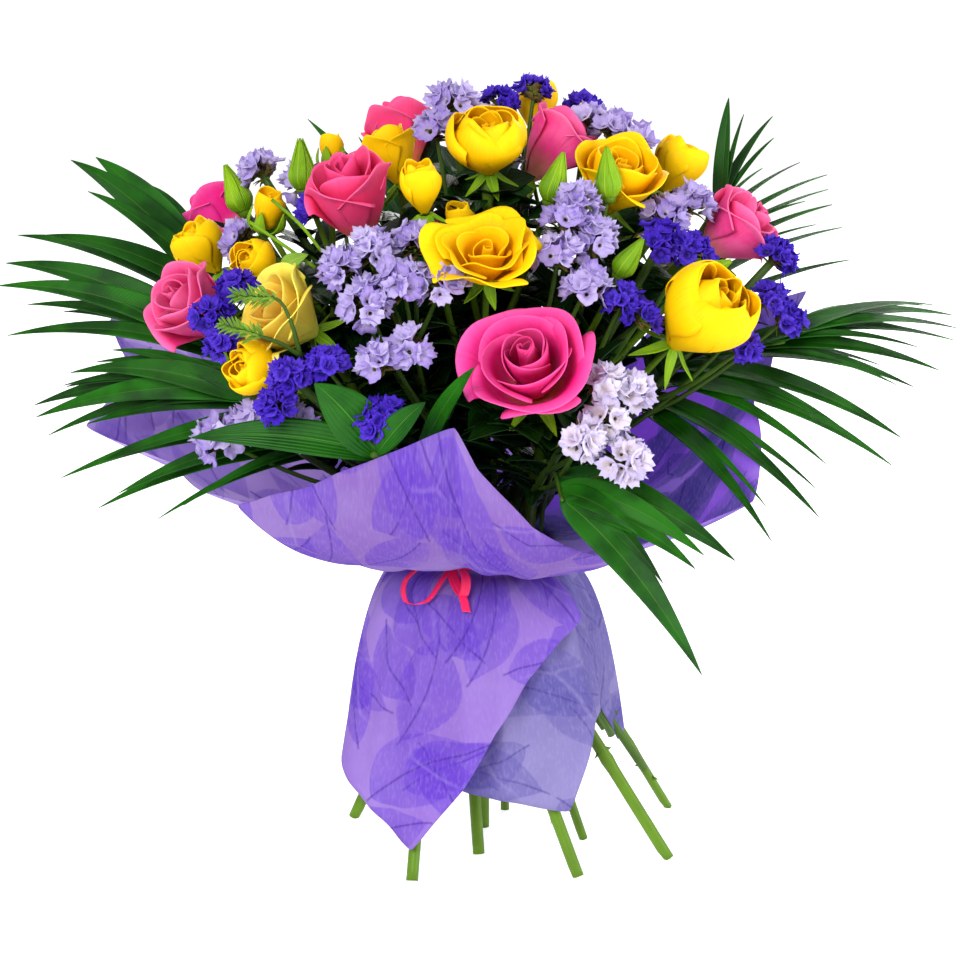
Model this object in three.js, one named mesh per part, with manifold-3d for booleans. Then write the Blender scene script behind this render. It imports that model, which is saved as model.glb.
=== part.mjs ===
// A hand-tied mixed bouquet standing on its splayed cut ends, in millimetres, +Z up.
// The origin is the cut end of the central stem, and the viewer stands at -Y.

import * as THREE from 'three';
import { mergeVertices } from 'three/addons/utils/BufferGeometryUtils.js';
import Module from 'manifold-3d';

const wasm = await Module();
wasm.setup();

// ---- driving dimensions ---------------------------------------------------------------------

const GAP = 0.35; // clearance between neighbouring pieces
const NECK_HEIGHT = 150; // where the stems cross and are tied
const FOOT_SPREAD = 0.58; // how much less the stems splay below the tie than above it
const NECK_SOFTNESS = 18; // height over which a stem changes from one slope to the other

// Rings in which the spiralled stems pass through the tie, inner ring first.
const STEM_RINGS = [
  { radius: 0, seats: 1 },
  { radius: 7.2, seats: 5 },
  { radius: 14.6, seats: 9 },
  { radius: 22, seats: 11 },
];
const SPACING_PASSES = 400;
const GREENERY_RING = 28.2; // ring of the thin petioles

const ROSE_STEM_RADIUS = 3.2;
const SPRAY_STEM_RADIUS = 2.5;
const STATICE_STEM_RADIUS = 2.1;
const PETIOLE_RADIUS = 1.6;
const STATICE_STEM_FOOT = 34; // these stems are shorter and end inside the paper skirt
const PETIOLE_FOOT = 62;
const LEAF_LIFT = 0.08; // how far leaves arch, as a share of their length
const STEEPEST_LEAN = 1.12; // stems aiming further out bend outwards above the tie
const SEAT_CLEARANCE = 2.2 * GAP;
const SAWN_LENGTH = -4; // rose and spray-rose stems are cut off flat at z = 0

// How far above the tie each kind of stem leaves the spiral.
const ROSE_RUN = 42;
const SPRAY_RUN = 30;
const PETIOLE_RUN = 26;
const PETIOLE_AIM = 90; // height above the tie by which a petiole is over its midrib's tip

const HIP_SWELLING = 1.7; // a rose stem widens under its bloom
const HIP_GAP = 0.6;
const SEPALS = 5;
const BLOOM_BEND = 26; // length over which a rose stem turns into its bloom's direction
const FIRST_FORK = 0.62; // where a spray forks, as shares of its stem, and how far apart
const FORK_STEP = 0.05;
const BRANCH_SIZE = 0.8;
const BUD_HIP = 14; // from a bud's tip down to its branch, at size 1

const PAPER_THICKNESS = 0.7;
const NECK_BAND = 0.04; // share of a sheet that lies straight round the neck, each way
const NECK_BAND_HEIGHT = 5;
const NECK_BAND_MIDDLE = NECK_HEIGHT - 2;
const PAPER_STATIONS = [-1, -0.55, -0.16, -NECK_BAND, NECK_BAND, 0.36, 0.68, 1];
const COLLAR_CLIMB = 0.1; // how much of its height a collar gains evenly; the rest near its rim
const COLLAR_SAG = 2.5;
const SKIRT_FALL = 1.35; // a skirt flares first and then falls
const SKIRT_FLARE = 0.5;
const OUTLINE_SOFTNESS = 0.14;
const TWINE = { radius: 31, cord: 0.85, turns: 3, segments: 12 };
const RIBBON = { radius: 39.8, thickness: 0.8, width: 5, bottom: 146.5, segments: 12 };

const COLOURS = {
  pink: 0xe23a72,
  yellow: 0xf6d640,
  lilac: 0xb9a3dc,
  violet: 0x4b3a9c,
  stem: 0x6d9440,
  frond: 0x2f6d22,
  paper: 0x9a7cc4,
  ribbon: 0xd81e48,
  twine: 0xb59a68,
};

const SMALL_BLOOM = 18; // a bloom up to this radius has fewer and smaller rings of petals

// ---- layout: places in mm, facing as [azimuth, lean from vertical] in degrees -----------------

const PINK_ROSES = [
  { at: [21, -118, 261], facing: [256, 48], radius: 32, height: 44, open: 1 },
  { at: [-62, -36, 326], facing: [232, 24], radius: 21, height: 50, open: 0.2 },
  { at: [34, 22, 345], facing: [20, 42], radius: 19, height: 42, open: 0.5 },
  { at: [121, 0, 307], facing: [350, 52], radius: 19, height: 40, open: 0.5 },
  { at: [-136, -46, 276], facing: [218, 58], radius: 20, height: 44, open: 0.7 },
  { at: [-133, 60, 304], facing: [155, 52], radius: 18, height: 38, open: 0.5 },
  { at: [-41, 72, 345], facing: [125, 25], radius: 18, height: 40, open: 0.3 },
  { at: [-7, 122, 280], facing: [95, 48], radius: 24, height: 44, open: 0.8 },
];

// Spray roses: the blooms of each stem, and its buds.
const YELLOW_SPRAYS = [
  {
    blooms: [
      { at: [2, -24, 352], facing: [265, 22], radius: 22, height: 31, open: 0.8 },
      { at: [-29, -62, 336], facing: [240, 14], radius: 10.5, height: 25, open: 0.1 },
      { at: [1, -92, 308], facing: [268, 34], radius: 23, height: 28, open: 1 },
    ],
    buds: [
      { tip: [36, -54, 348], facing: [345, 16], size: 1.15 },
      { tip: [-12, -50, 326], facing: [250, 20], size: 1 },
    ],
  },
  {
    blooms: [
      { at: [64, -25, 335], facing: [300, 30], radius: 22, height: 36, open: 0.7 },
      { at: [101, -76, 278], facing: [322, 46], radius: 25, height: 46, open: 0.6 },
    ],
    buds: [
      { tip: [58, -50, 350], facing: [180, 4], size: 1.15 },
      { tip: [112, -60, 300], facing: [350, 62], size: 1.25 },
      { tip: [72, -72, 311], facing: [350, 34], size: 1 },
    ],
  },
  {
    blooms: [
      { at: [-91, -84, 279], facing: [212, 60], radius: 23, height: 36, open: 0.9 },
      { at: [-104, -98, 257], facing: [222, 70], radius: 14, height: 26, open: 0.5 },
    ],
    buds: [],
  },
  {
    blooms: [
      { at: [-107, -44, 298], facing: [225, 60], radius: 12, height: 23, open: 0.5 },
      { at: [-138, 4, 297], facing: [190, 36], radius: 14, height: 27, open: 0.6 },
      { at: [-45, 8, 343], facing: [150, 20], radius: 14, height: 30, open: 0.5 },
    ],
    buds: [
      { tip: [-89, 0, 348], facing: [120, 6], size: 1.2 },
      { tip: [-126, 20, 333], facing: [160, 24], size: 1.2 },
      { tip: [-103, -20, 328], facing: [300, 18], size: 1.15 },
      { tip: [-76, 30, 350], facing: [100, 12], size: 0.9 },
    ],
  },
  {
    blooms: [
      { at: [95, 28, 335], facing: [10, 30], radius: 14, height: 28, open: 0.5 },
      { at: [26, 52, 363], facing: [60, 20], radius: 11, height: 24, open: 0.4 },
      { at: [84, 96, 302], facing: [48, 48], radius: 20, height: 32, open: 0.8 },
    ],
    buds: [
      { tip: [53, 50, 363], facing: [40, 10], size: 0.9 },
    ],
  },
];

// Statice heads, each as [x, y, z, radius].
const LILAC_SPRAYS = [
  [
    [-51, -84, 309, 12], [-66, -90, 302, 11], [-54, -102, 288, 12], [-37, -98, 298, 12],
    [-32, -76, 311, 11], [-20, -96, 295, 12], [-47, -124, 265, 9], [-33, -118, 270, 9],
  ],
  [
    [51, -66, 314, 12], [38, -70, 322, 11], [35, -80, 307, 11], [47, -88, 293, 11],
    [44, -60, 330, 9],
  ],
  [
    [55, -112, 252, 10], [68, -104, 247, 11], [45, -128, 231, 11], [64, -126, 220, 11],
    [56, -120, 238, 9],
  ],
  [
    [87, -30, 318, 11], [100, -16, 321, 11], [63, 20, 355, 11], [53, 26, 358, 9], [74, 10, 348, 10],
  ],
  [[-110, 20, 334, 11], [-89, 10, 330, 9], [-117, -12, 305, 10], [-74, 102, 304, 14]],
  [[-15, 10, 369, 11], [-23, -8, 357, 10], [-4, 76, 353, 12], [26, 100, 332, 14]],
  [[-106, -96, 231, 12], [-88, -106, 233, 11], [-124, -92, 223, 10]],
];

const VIOLET_SPRAYS = [
  [[-115, -66, 289, 11], [-126, -82, 279, 10], [-120, -92, 269, 8]],
  [[-87, -122, 258, 10], [-72, -124, 264, 10], [-94, -122, 245, 9], [-47, -130, 240, 12]],
  [[84, -50, 309, 11], [98, -46, 304, 11], [64, -86, 287, 8], [73, -86, 279, 7]],
  [[142, -16, 297, 10], [136, -44, 281, 10], [145, -34, 269, 9], [122, -66, 261, 9]],
  [
    [8, 30, 367, 9], [25, 34, 372, 8], [50, 72, 358, 11], [-82, -20, 320, 9], [60, 120, 286, 14],
  ],
];

// Palm fronds: tip of the midrib, arch, side that the leaflets face, and the leaflets, each as
// [share along the midrib, tip, width].
const PALM_FRONDS = [
  {
    tip: [-146, 38, 284], arch: 0, face: [-0.1, -0.7, 0.7],
    leaves: [
      [0.99, [-197, 60, 337], 19], [0.96, [-207, 40, 338], 17], [0.93, [-197, 26, 324], 12],
      [0.9, [-217, 14, 304], 14], [0.86, [-235, 40, 300], 14], [0.97, [-172, 92, 318], 14],
    ],
  },
  {
    tip: [-140, -24, 262], arch: 4, face: [0, -0.6, 0.8],
    leaves: [
      [0.98, [-235, 0, 292], 18], [0.95, [-236, -20, 284], 18], [0.9, [-230, -34, 262], 13],
      [0.86, [-228, 20, 268], 14], [0.82, [-212, 34, 262], 14],
    ],
  },
  {
    tip: [-114, -70, 239], arch: 20, face: [0, -0.7, 0.7],
    leaves: [
      [0.99, [-197, -56, 248], 16], [0.97, [-217, -40, 229], 18], [0.94, [-213, -64, 228], 17],
      [0.92, [-200, -50, 240], 15], [0.78, [-188, -70, 226], 14], [0.76, [-181, -96, 212], 15],
      [0.74, [-199, -84, 203], 15], [0.72, [-169, -112, 202], 14], [0.7, [-179, -108, 194], 13],
    ],
  },
  {
    tip: [124, 50, 312], arch: 6, face: [-0.5, -0.2, 0.8],
    leaves: [
      [0.99, [124, 60, 367], 11], [0.97, [147, 66, 357], 10], [0.95, [139, 30, 335], 9],
      [0.93, [161, 62, 334], 9], [0.91, [173, 44, 330], 10], [0.89, [175, 56, 321], 10],
      [0.87, [175, 36, 316], 9], [0.84, [183, 60, 301], 10], [0.8, [184, 30, 289], 9],
    ],
  },
  {
    tip: [146, -30, 258], arch: 22, face: [-0.2, -0.35, 0.9],
    leaves: [
      [0.99, [199, 10, 268], 12], [0.97, [220, -10, 273], 13], [0.94, [232, 0, 266], 14],
      [0.92, [229, -30, 265], 14], [0.89, [230, -20, 257], 14], [0.87, [220, -40, 246], 15],
      [0.84, [209, -30, 236], 15], [0.8, [201, -50, 215], 15], [0.76, [194, -70, 206], 15],
      [0.72, [159, -80, 183], 13], [0.7, [135, -100, 176], 11],
    ],
  },
  {
    tip: [36, -126, 202], arch: 14, face: [0.1, -0.8, 0.6],
    leaves: [
      [0.99, [101, -130, 120], 18], [0.97, [98, -120, 168], 15], [0.86, [116, -124, 173], 18],
      [0.92, [101, -134, 178], 14], [0.89, [82, -138, 166], 13], [0.95, [70, -142, 190], 12],
    ],
  },
  {
    tip: [-20, 118, 240], arch: 20, face: [0, 0.7, 0.7],
    leaves: [
      [0.99, [-92, 110, 351], 14], [0.97, [-66, 124, 340], 12],
      [0.92, [-112, 164, 250], 14], [0.9, [-52, 190, 262], 14],
      [0.86, [92, 166, 256], 14], [0.78, [6, 200, 252], 14],
    ],
  },
];

// Broad-leaved twigs, in the same way.
const RUSCUS_SPRIGS = [
  {
    tip: [-50, -138, 226], arch: 6, face: [0, -0.8, 0.5],
    leaves: [
      [0.98, [-76, -138, 259], 23], [0.93, [-134, -120, 230], 17], [0.99, [-26, -146, 252], 12],
      [0.86, [-4, -146, 268], 9],
    ],
  },
  {
    tip: [60, 130, 226], arch: 6, face: [0, 0.8, 0.5],
    leaves: [
      [0.98, [96, 172, 236], 22], [0.92, [18, 176, 238], 22], [0.86, [118, 128, 262], 20],
      [0.99, [62, 158, 268], 20],
    ],
  },
];

// Paper sheets, outermost first. Each outline point is [azimuth, distance out, height].
const PAPER_SHEETS = [
  {
    neck: 37.8,
    bow: 3.4,
    collar: [
      [196, 60, 157], [207, 118, 171], [220, 149, 192], [233, 148, 206], [245, 149, 219],
      [256, 151, 230], [265, 150, 239], [269, 150, 221], [279, 142, 193], [292, 124, 176],
      [306, 109, 164],
    ],
    skirt: [
      [186, 67, 59], [202, 75, 53], [218, 82, 41], [233, 86, 28], [246, 88, 16], [255, 89, 33],
      [264, 89, 51], [274, 82, 76], [287, 76, 99], [300, 70, 113], [314, 66, 125],
    ],
  },
  {
    neck: 35.4,
    bow: 2,
    collar: [
      [262, 50, 158], [288, 100, 163], [309, 122, 173], [331, 147, 189], [340, 144, 209],
      [352, 135, 228], [372, 150, 248], [380, 176, 268], [399, 175, 255], [415, 158, 235],
      [424, 56, 162],
    ],
    skirt: [
      [256, 65, 44], [278, 75, 39], [302, 80, 32], [316, 74, 72], [334, 65, 77], [352, 70, 50],
      [368, 68, 58], [380, 67, 64], [398, 63, 84], [412, 56, 104], [424, 50, 120],
    ],
  },
  {
    neck: 33.5,
    bow: 1.3,
    collar: [
      [50, 60, 168], [72, 128, 212], [96, 158, 240], [120, 146, 226], [150, 190, 251],
      [168, 193, 256], [180, 174, 236], [189, 198, 219], [202, 162, 205], [209, 151, 192],
      [216, 58, 164],
    ],
    skirt: [
      [50, 44, 126], [78, 60, 92], [104, 70, 64], [128, 66, 72], [148, 68, 66], [165, 66, 80],
      [176, 62, 90], [188, 56, 104], [198, 50, 116], [207, 46, 124], [216, 42, 130],
    ],
  },
];

// ---- small helpers ----------------------------------------------------------------------------

const UP = new THREE.Vector3(0, 0, 1);
const vector = (values) => new THREE.Vector3(...values);
const degrees = THREE.MathUtils.degToRad;
const lerp = THREE.MathUtils.lerp;

function seeded(seed) {
  let state = seed >>> 0;
  return () => {
    state = (Math.imul(state, 1664525) + 1013904223) >>> 0;
    return state / 4294967296;
  };
}

function direction(azimuth, lean) {
  return new THREE.Vector3(
    Math.sin(degrees(lean)) * Math.cos(degrees(azimuth)),
    Math.sin(degrees(lean)) * Math.sin(degrees(azimuth)),
    Math.cos(degrees(lean)),
  );
}

function bodyOf(corners, faces) {
  let volume = 0;
  for (const [a, b, c] of faces) {
    volume += corners[a].dot(corners[b].clone().cross(corners[c]));
  }
  const turned = volume < 0 ? faces.map(([a, b, c]) => [a, c, b]) : faces;
  return new wasm.Manifold(new wasm.Mesh({
    numProp: 3,
    vertProperties: Float32Array.from(corners.flatMap((corner) => corner.toArray())),
    triVerts: Uint32Array.from(turned.flat()),
  }));
}

// Geometry with one corner for each place.
function welded(geometry) {
  geometry.deleteAttribute('normal');
  geometry.deleteAttribute('uv');
  return mergeVertices(geometry, 1e-3);
}

function bodyFrom(geometry) {
  const merged = welded(geometry);
  const { array } = merged.attributes.position;
  const corners = Array.from({ length: array.length / 3 }, (_, corner) => (
    new THREE.Vector3().fromArray(array, 3 * corner)
  ));
  const faces = Array.from({ length: merged.index.count / 3 }, (_, face) => (
    Array.from(merged.index.array.subarray(3 * face, 3 * face + 3))
  ));
  return bodyOf(corners, faces);
}

// A closed body through rings of corners, with a flat cap at each end.
function loft(rings) {
  const sides = rings[0].length;
  const faces = [];
  for (let row = 0; row < rings.length - 1; row += 1) {
    for (let side = 0; side < sides; side += 1) {
      const next = (side + 1) % sides;
      const [a, b] = [row * sides + side, row * sides + next];
      faces.push([a, b, b + sides], [a, b + sides, a + sides]);
    }
  }
  const last = (rings.length - 1) * sides;
  for (let side = 1; side < sides - 1; side += 1) {
    faces.push([0, side + 1, side], [last, last + side, last + side + 1]);
  }
  return bodyOf(rings.flat(), faces);
}

// A thin body of even thickness about the surface place(u, v), split alike on both faces.
function blade(across, along, place, thickness) {
  const step = 1e-3;
  const corners = [];
  for (const half of [0.5, -0.5]) {
    for (let row = 0; row <= along; row += 1) {
      for (let column = 0; column <= across; column += 1) {
        const [u, v] = [column / across, row / along];
        const overU = place(Math.min(u + step, 1), v).sub(place(Math.max(u - step, 0), v));
        const overV = place(u, Math.min(v + step, 1)).sub(place(u, Math.max(v - step, 0)));
        const normal = overU.cross(overV).normalize();
        corners.push(place(u, v).addScaledVector(normal, half * thickness));
      }
    }
  }
  const back = (across + 1) * (along + 1);
  const index = (column, row) => row * (across + 1) + column;
  const faces = [];
  for (let row = 0; row < along; row += 1) {
    for (let column = 0; column < across; column += 1) {
      const [a, b] = [index(column, row), index(column + 1, row)];
      const [c, d] = [index(column + 1, row + 1), index(column, row + 1)];
      faces.push([a, b, c], [a, c, d]);
      faces.push([back + a, back + c, back + b], [back + a, back + d, back + c]);
    }
  }
  const wall = (a, b) => faces.push([a, back + a, back + b], [a, back + b, b]);
  for (let column = 0; column < across; column += 1) {
    wall(index(column, 0), index(column + 1, 0));
    wall(index(column + 1, along), index(column, along));
  }
  for (let row = 0; row < along; row += 1) {
    wall(index(across, row), index(across, row + 1));
    wall(index(0, row + 1), index(0, row));
  }
  return bodyOf(corners, faces);
}

function tube(points, radiusAt, sides, steps) {
  const curve = new THREE.CatmullRomCurve3(points);
  const frames = curve.computeFrenetFrames(steps);
  const rings = [];
  for (let step = 0; step <= steps; step += 1) {
    const centre = curve.getPointAt(step / steps);
    const radius = radiusAt(step / steps);
    rings.push(Array.from({ length: sides }, (_, side) => {
      const angle = (2 * Math.PI * side) / sides;
      return centre.clone()
        .addScaledVector(frames.normals[step], radius * Math.cos(angle))
        .addScaledVector(frames.binormals[step], radius * Math.sin(angle));
    }));
  }
  return loft(rings);
}

// The point at a share of a tube's length, on the straight stretches that the tube is made of.
function onTube(points, steps, share) {
  const curve = new THREE.CatmullRomCurve3(points);
  const step = Math.min(Math.floor(share * steps), steps - 1);
  const from = curve.getPointAt(step / steps);
  return from.lerp(curve.getPointAt((step + 1) / steps), share * steps - step);
}

const join = (bodies) => bodies.reduce((whole, body) => whole.add(body));

// ---- spiralled stems --------------------------------------------------------------------------

// Sideways run of a stem at a height, per unit of its lean: the same for all, so none cross.
function spread(height) {
  const rise = height - NECK_HEIGHT;
  const soft = Math.hypot(rise, NECK_SOFTNESS) - NECK_SOFTNESS;
  return ((1 + FOOT_SPREAD) * rise + (1 - FOOT_SPREAD) * soft) / 2;
}

function strand(seat, height) {
  const out = seat.lean * spread(height);
  return new THREE.Vector3(
    out * Math.cos(seat.turn) - seat.ring * Math.sin(seat.turn),
    out * Math.sin(seat.turn) + seat.ring * Math.cos(seat.turn),
    height,
  );
}

// The seat in a ring from which a stem leans straight towards a target.
function seatFor(target, ring, radius) {
  const flat = Math.hypot(target.x, target.y);
  const out = Math.sqrt(Math.max(flat * flat - ring * ring, 1));
  const turn = Math.atan2(target.y, target.x) - Math.atan2(ring, out);
  return { ring, radius, turn, lean: Math.min(out / spread(target.z), STEEPEST_LEAN) };
}

// Pushes the seats of one ring apart around it until neighbours clear each other at the tie.
function spaceOut(seats) {
  seats.sort((a, b) => a.turn - b.turn);
  for (let pass = 0; pass < SPACING_PASSES; pass += 1) {
    seats.forEach((seat, place) => {
      const next = seats[(place + 1) % seats.length];
      const wrap = place + 1 === seats.length ? 2 * Math.PI : 0;
      const steep = Math.cos(Math.atan(Math.max(seat.lean, next.lean)));
      const needed = (seat.radius + next.radius + SEAT_CLEARANCE) / (seat.ring * steep);
      const short = needed - (next.turn + wrap - seat.turn);
      if (short > 0 && next !== seat) {
        seat.turn -= short / 2;
        next.turn += short / 2;
      }
    });
  }
}

// Gives each flower stem its seat: the more upright the stem, the nearer to the middle. The
// one in the very middle stands plumb, with its cut end at the origin.
function seatStems(stems) {
  const lean = (stem) => Math.hypot(stem.target.x, stem.target.y) / spread(stem.target.z);
  const waiting = [...stems].sort((a, b) => lean(a) - lean(b));
  for (const ring of STEM_RINGS) {
    const group = waiting.splice(0, ring.seats);
    for (const stem of group) {
      stem.seat = seatFor(stem.target, ring.radius, stem.radius);
    }
    if (ring.radius > 0) {
      spaceOut(group.map((stem) => stem.seat));
    } else {
      group[0].seat.lean = 0;
    }
  }
}

// Points of a stem from its foot, through the tie and up to where it leaves the spiral.
function stemRun(seat, foot, top) {
  const heights = [foot, (foot + NECK_HEIGHT) / 2, NECK_HEIGHT - 12, NECK_HEIGHT + 12, top];
  return heights.map((height) => strand(seat, height));
}

// ---- blooms -----------------------------------------------------------------------------------

// Rings of a rose as [share of the radius, share of the height], from its base to its heart.
function roseProfile(open) {
  return [
    [0.42, 0.03],
    [lerp(0.82, 0.84, open), 0.3],
    [lerp(0.86, 1.0, open), lerp(0.78, 0.66, open)],
    [lerp(0.64, 0.76, open), lerp(0.68, 0.52, open)],
    [lerp(0.58, 0.62, open), lerp(0.92, 0.9, open)],
    [lerp(0.38, 0.42, open), lerp(0.78, 0.7, open)],
    [lerp(0.3, 0.32, open), 1],
  ];
}

// A rose as closed relief: a ring of petals for every three columns, each ring turned by half
// a petal.
function rose(bloom, swell) {
  if (swell > 0) {
    return roseEnvelope(bloom, swell);
  }
  const isSmall = bloom.radius <= SMALL_BLOOM;
  const columns = isSmall ? 9 : 12;
  const axis = direction(...bloom.facing);
  const turn = new THREE.Quaternion().setFromUnitVectors(UP, axis);
  const centre = vector(bloom.at);
  const seat = (x, y, z) => new THREE.Vector3(x, y, z - bloom.height / 2)
    .applyQuaternion(turn).add(centre);
  const petals = columns / 3;
  const profile = roseProfile(bloom.open).slice(0, isSmall ? 5 : 7);
  const rings = profile.map(([reach, height], ring) => {
    const isRim = ring >= 2 && ring % 2 === 0;
    return Array.from({ length: columns }, (_, column) => {
      const angle = (2 * Math.PI * column) / columns;
      const petal = Math.abs(Math.cos((petals / 2) * angle + (ring * Math.PI) / 4));
      const edge = isRim ? 0.86 + 0.2 * petal : 0.97 + 0.05 * petal;
      const tall = isRim ? height - 0.16 * (1 - petal) : height;
      const out = bloom.radius * reach * edge;
      return seat(out * Math.cos(angle), out * Math.sin(angle), bloom.height * tall);
    });
  });
  const corners = [seat(0, 0, 0), ...rings.flat(), seat(0, 0, bloom.height * 0.84)];
  const heart = corners.length - 1;
  const start = (ring) => 1 + ring * columns;
  const faces = [];
  for (let column = 0; column < columns; column += 1) {
    const next = (column + 1) % columns;
    faces.push([0, start(0) + next, start(0) + column]);
    for (let ring = 0; ring < rings.length - 1; ring += 1) {
      const [a, b] = [start(ring) + column, start(ring) + next];
      const [c, d] = [start(ring + 1) + next, start(ring + 1) + column];
      faces.push([a, b, c], [a, c, d]);
    }
    faces.push([start(rings.length - 1) + column, start(rings.length - 1) + next, heart]);
  }
  return bodyOf(corners, faces);
}

// A plain hull a little larger than the rose, for cutting its neighbours clear.
function roseEnvelope(bloom, swell) {
  const turn = new THREE.Quaternion().setFromUnitVectors(UP, direction(...bloom.facing));
  const hull = [[0.46, -0.01], [0.94, 0.24], [lerp(0.98, 1.16, bloom.open), 0.72], [0.78, 1.01]];
  return loft(hull.map(([reach, height]) => Array.from({ length: 8 }, (_, side) => {
    const angle = (Math.PI * side) / 4;
    const out = bloom.radius * reach + swell;
    const along = (height - 0.5) * (bloom.height + 2 * swell);
    return new THREE.Vector3(out * Math.cos(angle), out * Math.sin(angle), along)
      .applyQuaternion(turn).add(vector(bloom.at));
  })));
}

function bloomBase(bloom) {
  return vector(bloom.at).addScaledVector(direction(...bloom.facing), -bloom.height / 2 - HIP_GAP);
}

// Narrow sepals folded back around the top of a stem, each ring of one as [share of the bloom's
// height outwards, the same down from its base, half its width].
function sepals(bloom, swell) {
  const axis = direction(...bloom.facing);
  const turn = new THREE.Quaternion().setFromUnitVectors(UP, axis);
  return Array.from({ length: SEPALS }, (_, number) => {
    const angle = (2 * Math.PI * number) / SEPALS;
    const out = new THREE.Vector3(Math.cos(angle), Math.sin(angle), 0).applyQuaternion(turn);
    const side = axis.clone().cross(out);
    const rings = [[0.05, 0.05, 2.6], [0.4, 0.17, 0.5]].map(([reach, drop, half]) => {
      const middle = bloomBase(bloom).addScaledVector(out, reach * bloom.height)
        .addScaledVector(axis, -drop * bloom.height);
      return keeled(middle, side, axis, half, 1.2, swell);
    });
    return loft(rings);
  });
}

function bud({ tip, facing, size }, swell) {
  const sides = 5;
  const turn = new THREE.Quaternion().setFromUnitVectors(UP, direction(...facing));
  const rings = [[-17, 1.4], [-12, 5.6], [-6, 5.4], [1, 0.8]].map(([along, radius]) => (
    Array.from({ length: sides }, (_, side) => {
      const angle = (2 * Math.PI * side) / sides;
      const out = size * radius + swell;
      return new THREE.Vector3(out * Math.cos(angle), out * Math.sin(angle), size * along)
        .applyQuaternion(turn).add(vector(tip));
    })
  ));
  return loft(rings);
}

// ---- flower stems -----------------------------------------------------------------------------

const neckPoint = new THREE.Vector3(0, 0, NECK_HEIGHT);
const outward = (point) => point.clone().sub(neckPoint).normalize();

function roseStem({ bloom, seat }, swell) {
  const axis = direction(...bloom.facing);
  const base = bloomBase(bloom);
  const run = stemRun(seat, SAWN_LENGTH, NECK_HEIGHT + ROSE_RUN);
  run.push(base.clone().addScaledVector(axis, -BLOOM_BEND), base);
  const radiusAt = (share) => ROSE_STEM_RADIUS * (share === 1 ? HIP_SWELLING : 1) + swell;
  return join([tube(run, radiusAt, 5, 7), ...sepals(bloom, swell)]);
}

function branch(from, tip, radius, swell) {
  return tube([from, tip], (share) => radius * lerp(1, 0.75, share) + swell, 3, 1);
}

function middleOf(points) {
  return points.reduce((sum, point) => sum.add(point), new THREE.Vector3())
    .divideScalar(points.length);
}

// The stem runs on to its first head, and a branch leaves it for each of the others.
function sprayStem(spray, swell) {
  const steps = 8;
  const run = stemRun(spray.seat, spray.foot, NECK_HEIGHT + SPRAY_RUN);
  run.push(neckPoint.clone().lerp(spray.target, 0.42), spray.tips[0]);
  const bodies = [tube(run, () => spray.radius + swell, spray.sides, steps)];
  spray.tips.slice(1).forEach((tip, count) => {
    const fork = onTube(run, steps, FIRST_FORK + FORK_STEP * count);
    bodies.push(branch(fork, tip, spray.radius * BRANCH_SIZE, swell));
  });
  return bodies;
}

function yellowStem(spray, swell) {
  return join([...sprayStem(spray, swell), ...spray.buds.map((each) => bud(each, swell))]);
}

// ---- statice ----------------------------------------------------------------------------------

// The corners of a plain ball become the mouths of funnel-shaped florets, and the corners
// between them their papery rims, ruffled by a seeded draw.
function staticeHead(head, swell) {
  const radius = head[3];
  if (swell > 0) {
    const reach = 1.12 * radius + swell;
    return bodyFrom(plainBall(1).scale(reach, reach, reach).translate(...head.slice(0, 3)));
  }
  const random = seeded(Math.round(1000 + head[0] * 7 + head[1] * 13 + head[2]));
  const ball = plainBall(1);
  const mouths = plainBall(0).attributes.position;
  const turn = new THREE.Quaternion().setFromUnitVectors(UP, outward(vector(head)));
  const position = ball.attributes.position;
  for (let corner = 0; corner < position.count; corner += 1) {
    const ray = new THREE.Vector3().fromBufferAttribute(position, corner).normalize();
    const isMouth = Array.from({ length: mouths.count }, (_, mouth) => (
      ray.dot(new THREE.Vector3().fromBufferAttribute(mouths, mouth))
    )).some((closeness) => closeness > 0.99);
    const reach = isMouth ? 0.62 : lerp(0.9, 1.08, random());
    ray.multiplyScalar(radius * reach).applyQuaternion(turn).add(vector(head));
    position.setXYZ(corner, ray.x, ray.y, ray.z);
  }
  return bodyFrom(ball);
}

function plainBall(detail) {
  return welded(new THREE.OctahedronGeometry(1, detail));
}

function staticeSpray(spray, swell) {
  const heads = spray.heads.map((head) => staticeHead(head, swell));
  return join([...sprayStem(spray, swell), ...heads]);
}

// ---- greenery ---------------------------------------------------------------------------------

// Corners of a thin keeled section: flat below, or bulging there too when it is swollen.
function keeled(middle, side, face, half, keel, swell) {
  const corners = [
    middle.clone().addScaledVector(side, half + 3 * swell),
    middle.clone().addScaledVector(face, keel + 2 * swell),
    middle.clone().addScaledVector(side, -half - 3 * swell),
  ];
  if (swell > 0) {
    corners.push(middle.clone().addScaledVector(face, -4 * swell));
  }
  return corners;
}

// A keeled leaf from its base on the midrib to its tip, arched upwards.
function leaf(from, [, tip, width], face, swell) {
  const run = vector(tip).sub(from);
  const length = run.length();
  const towards = run.clone().normalize();
  const side = towards.clone().cross(face).normalize();
  const above = side.clone().cross(towards);
  const rings = [[0, 0.25], [0.42, 1], [1, 0.1]].map(([share, wide]) => {
    const past = (share === 0 ? -1 : 0) + (share === 1 ? 1 : 0);
    const middle = from.clone().addScaledVector(run, share).addScaledVector(towards, past * swell)
      .addScaledVector(UP, LEAF_LIFT * length * 4 * share * (1 - share));
    return keeled(middle, side, above, (wide * width) / 2, 0.5 + 1.1 * wide, swell);
  });
  return loft(rings);
}

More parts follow.
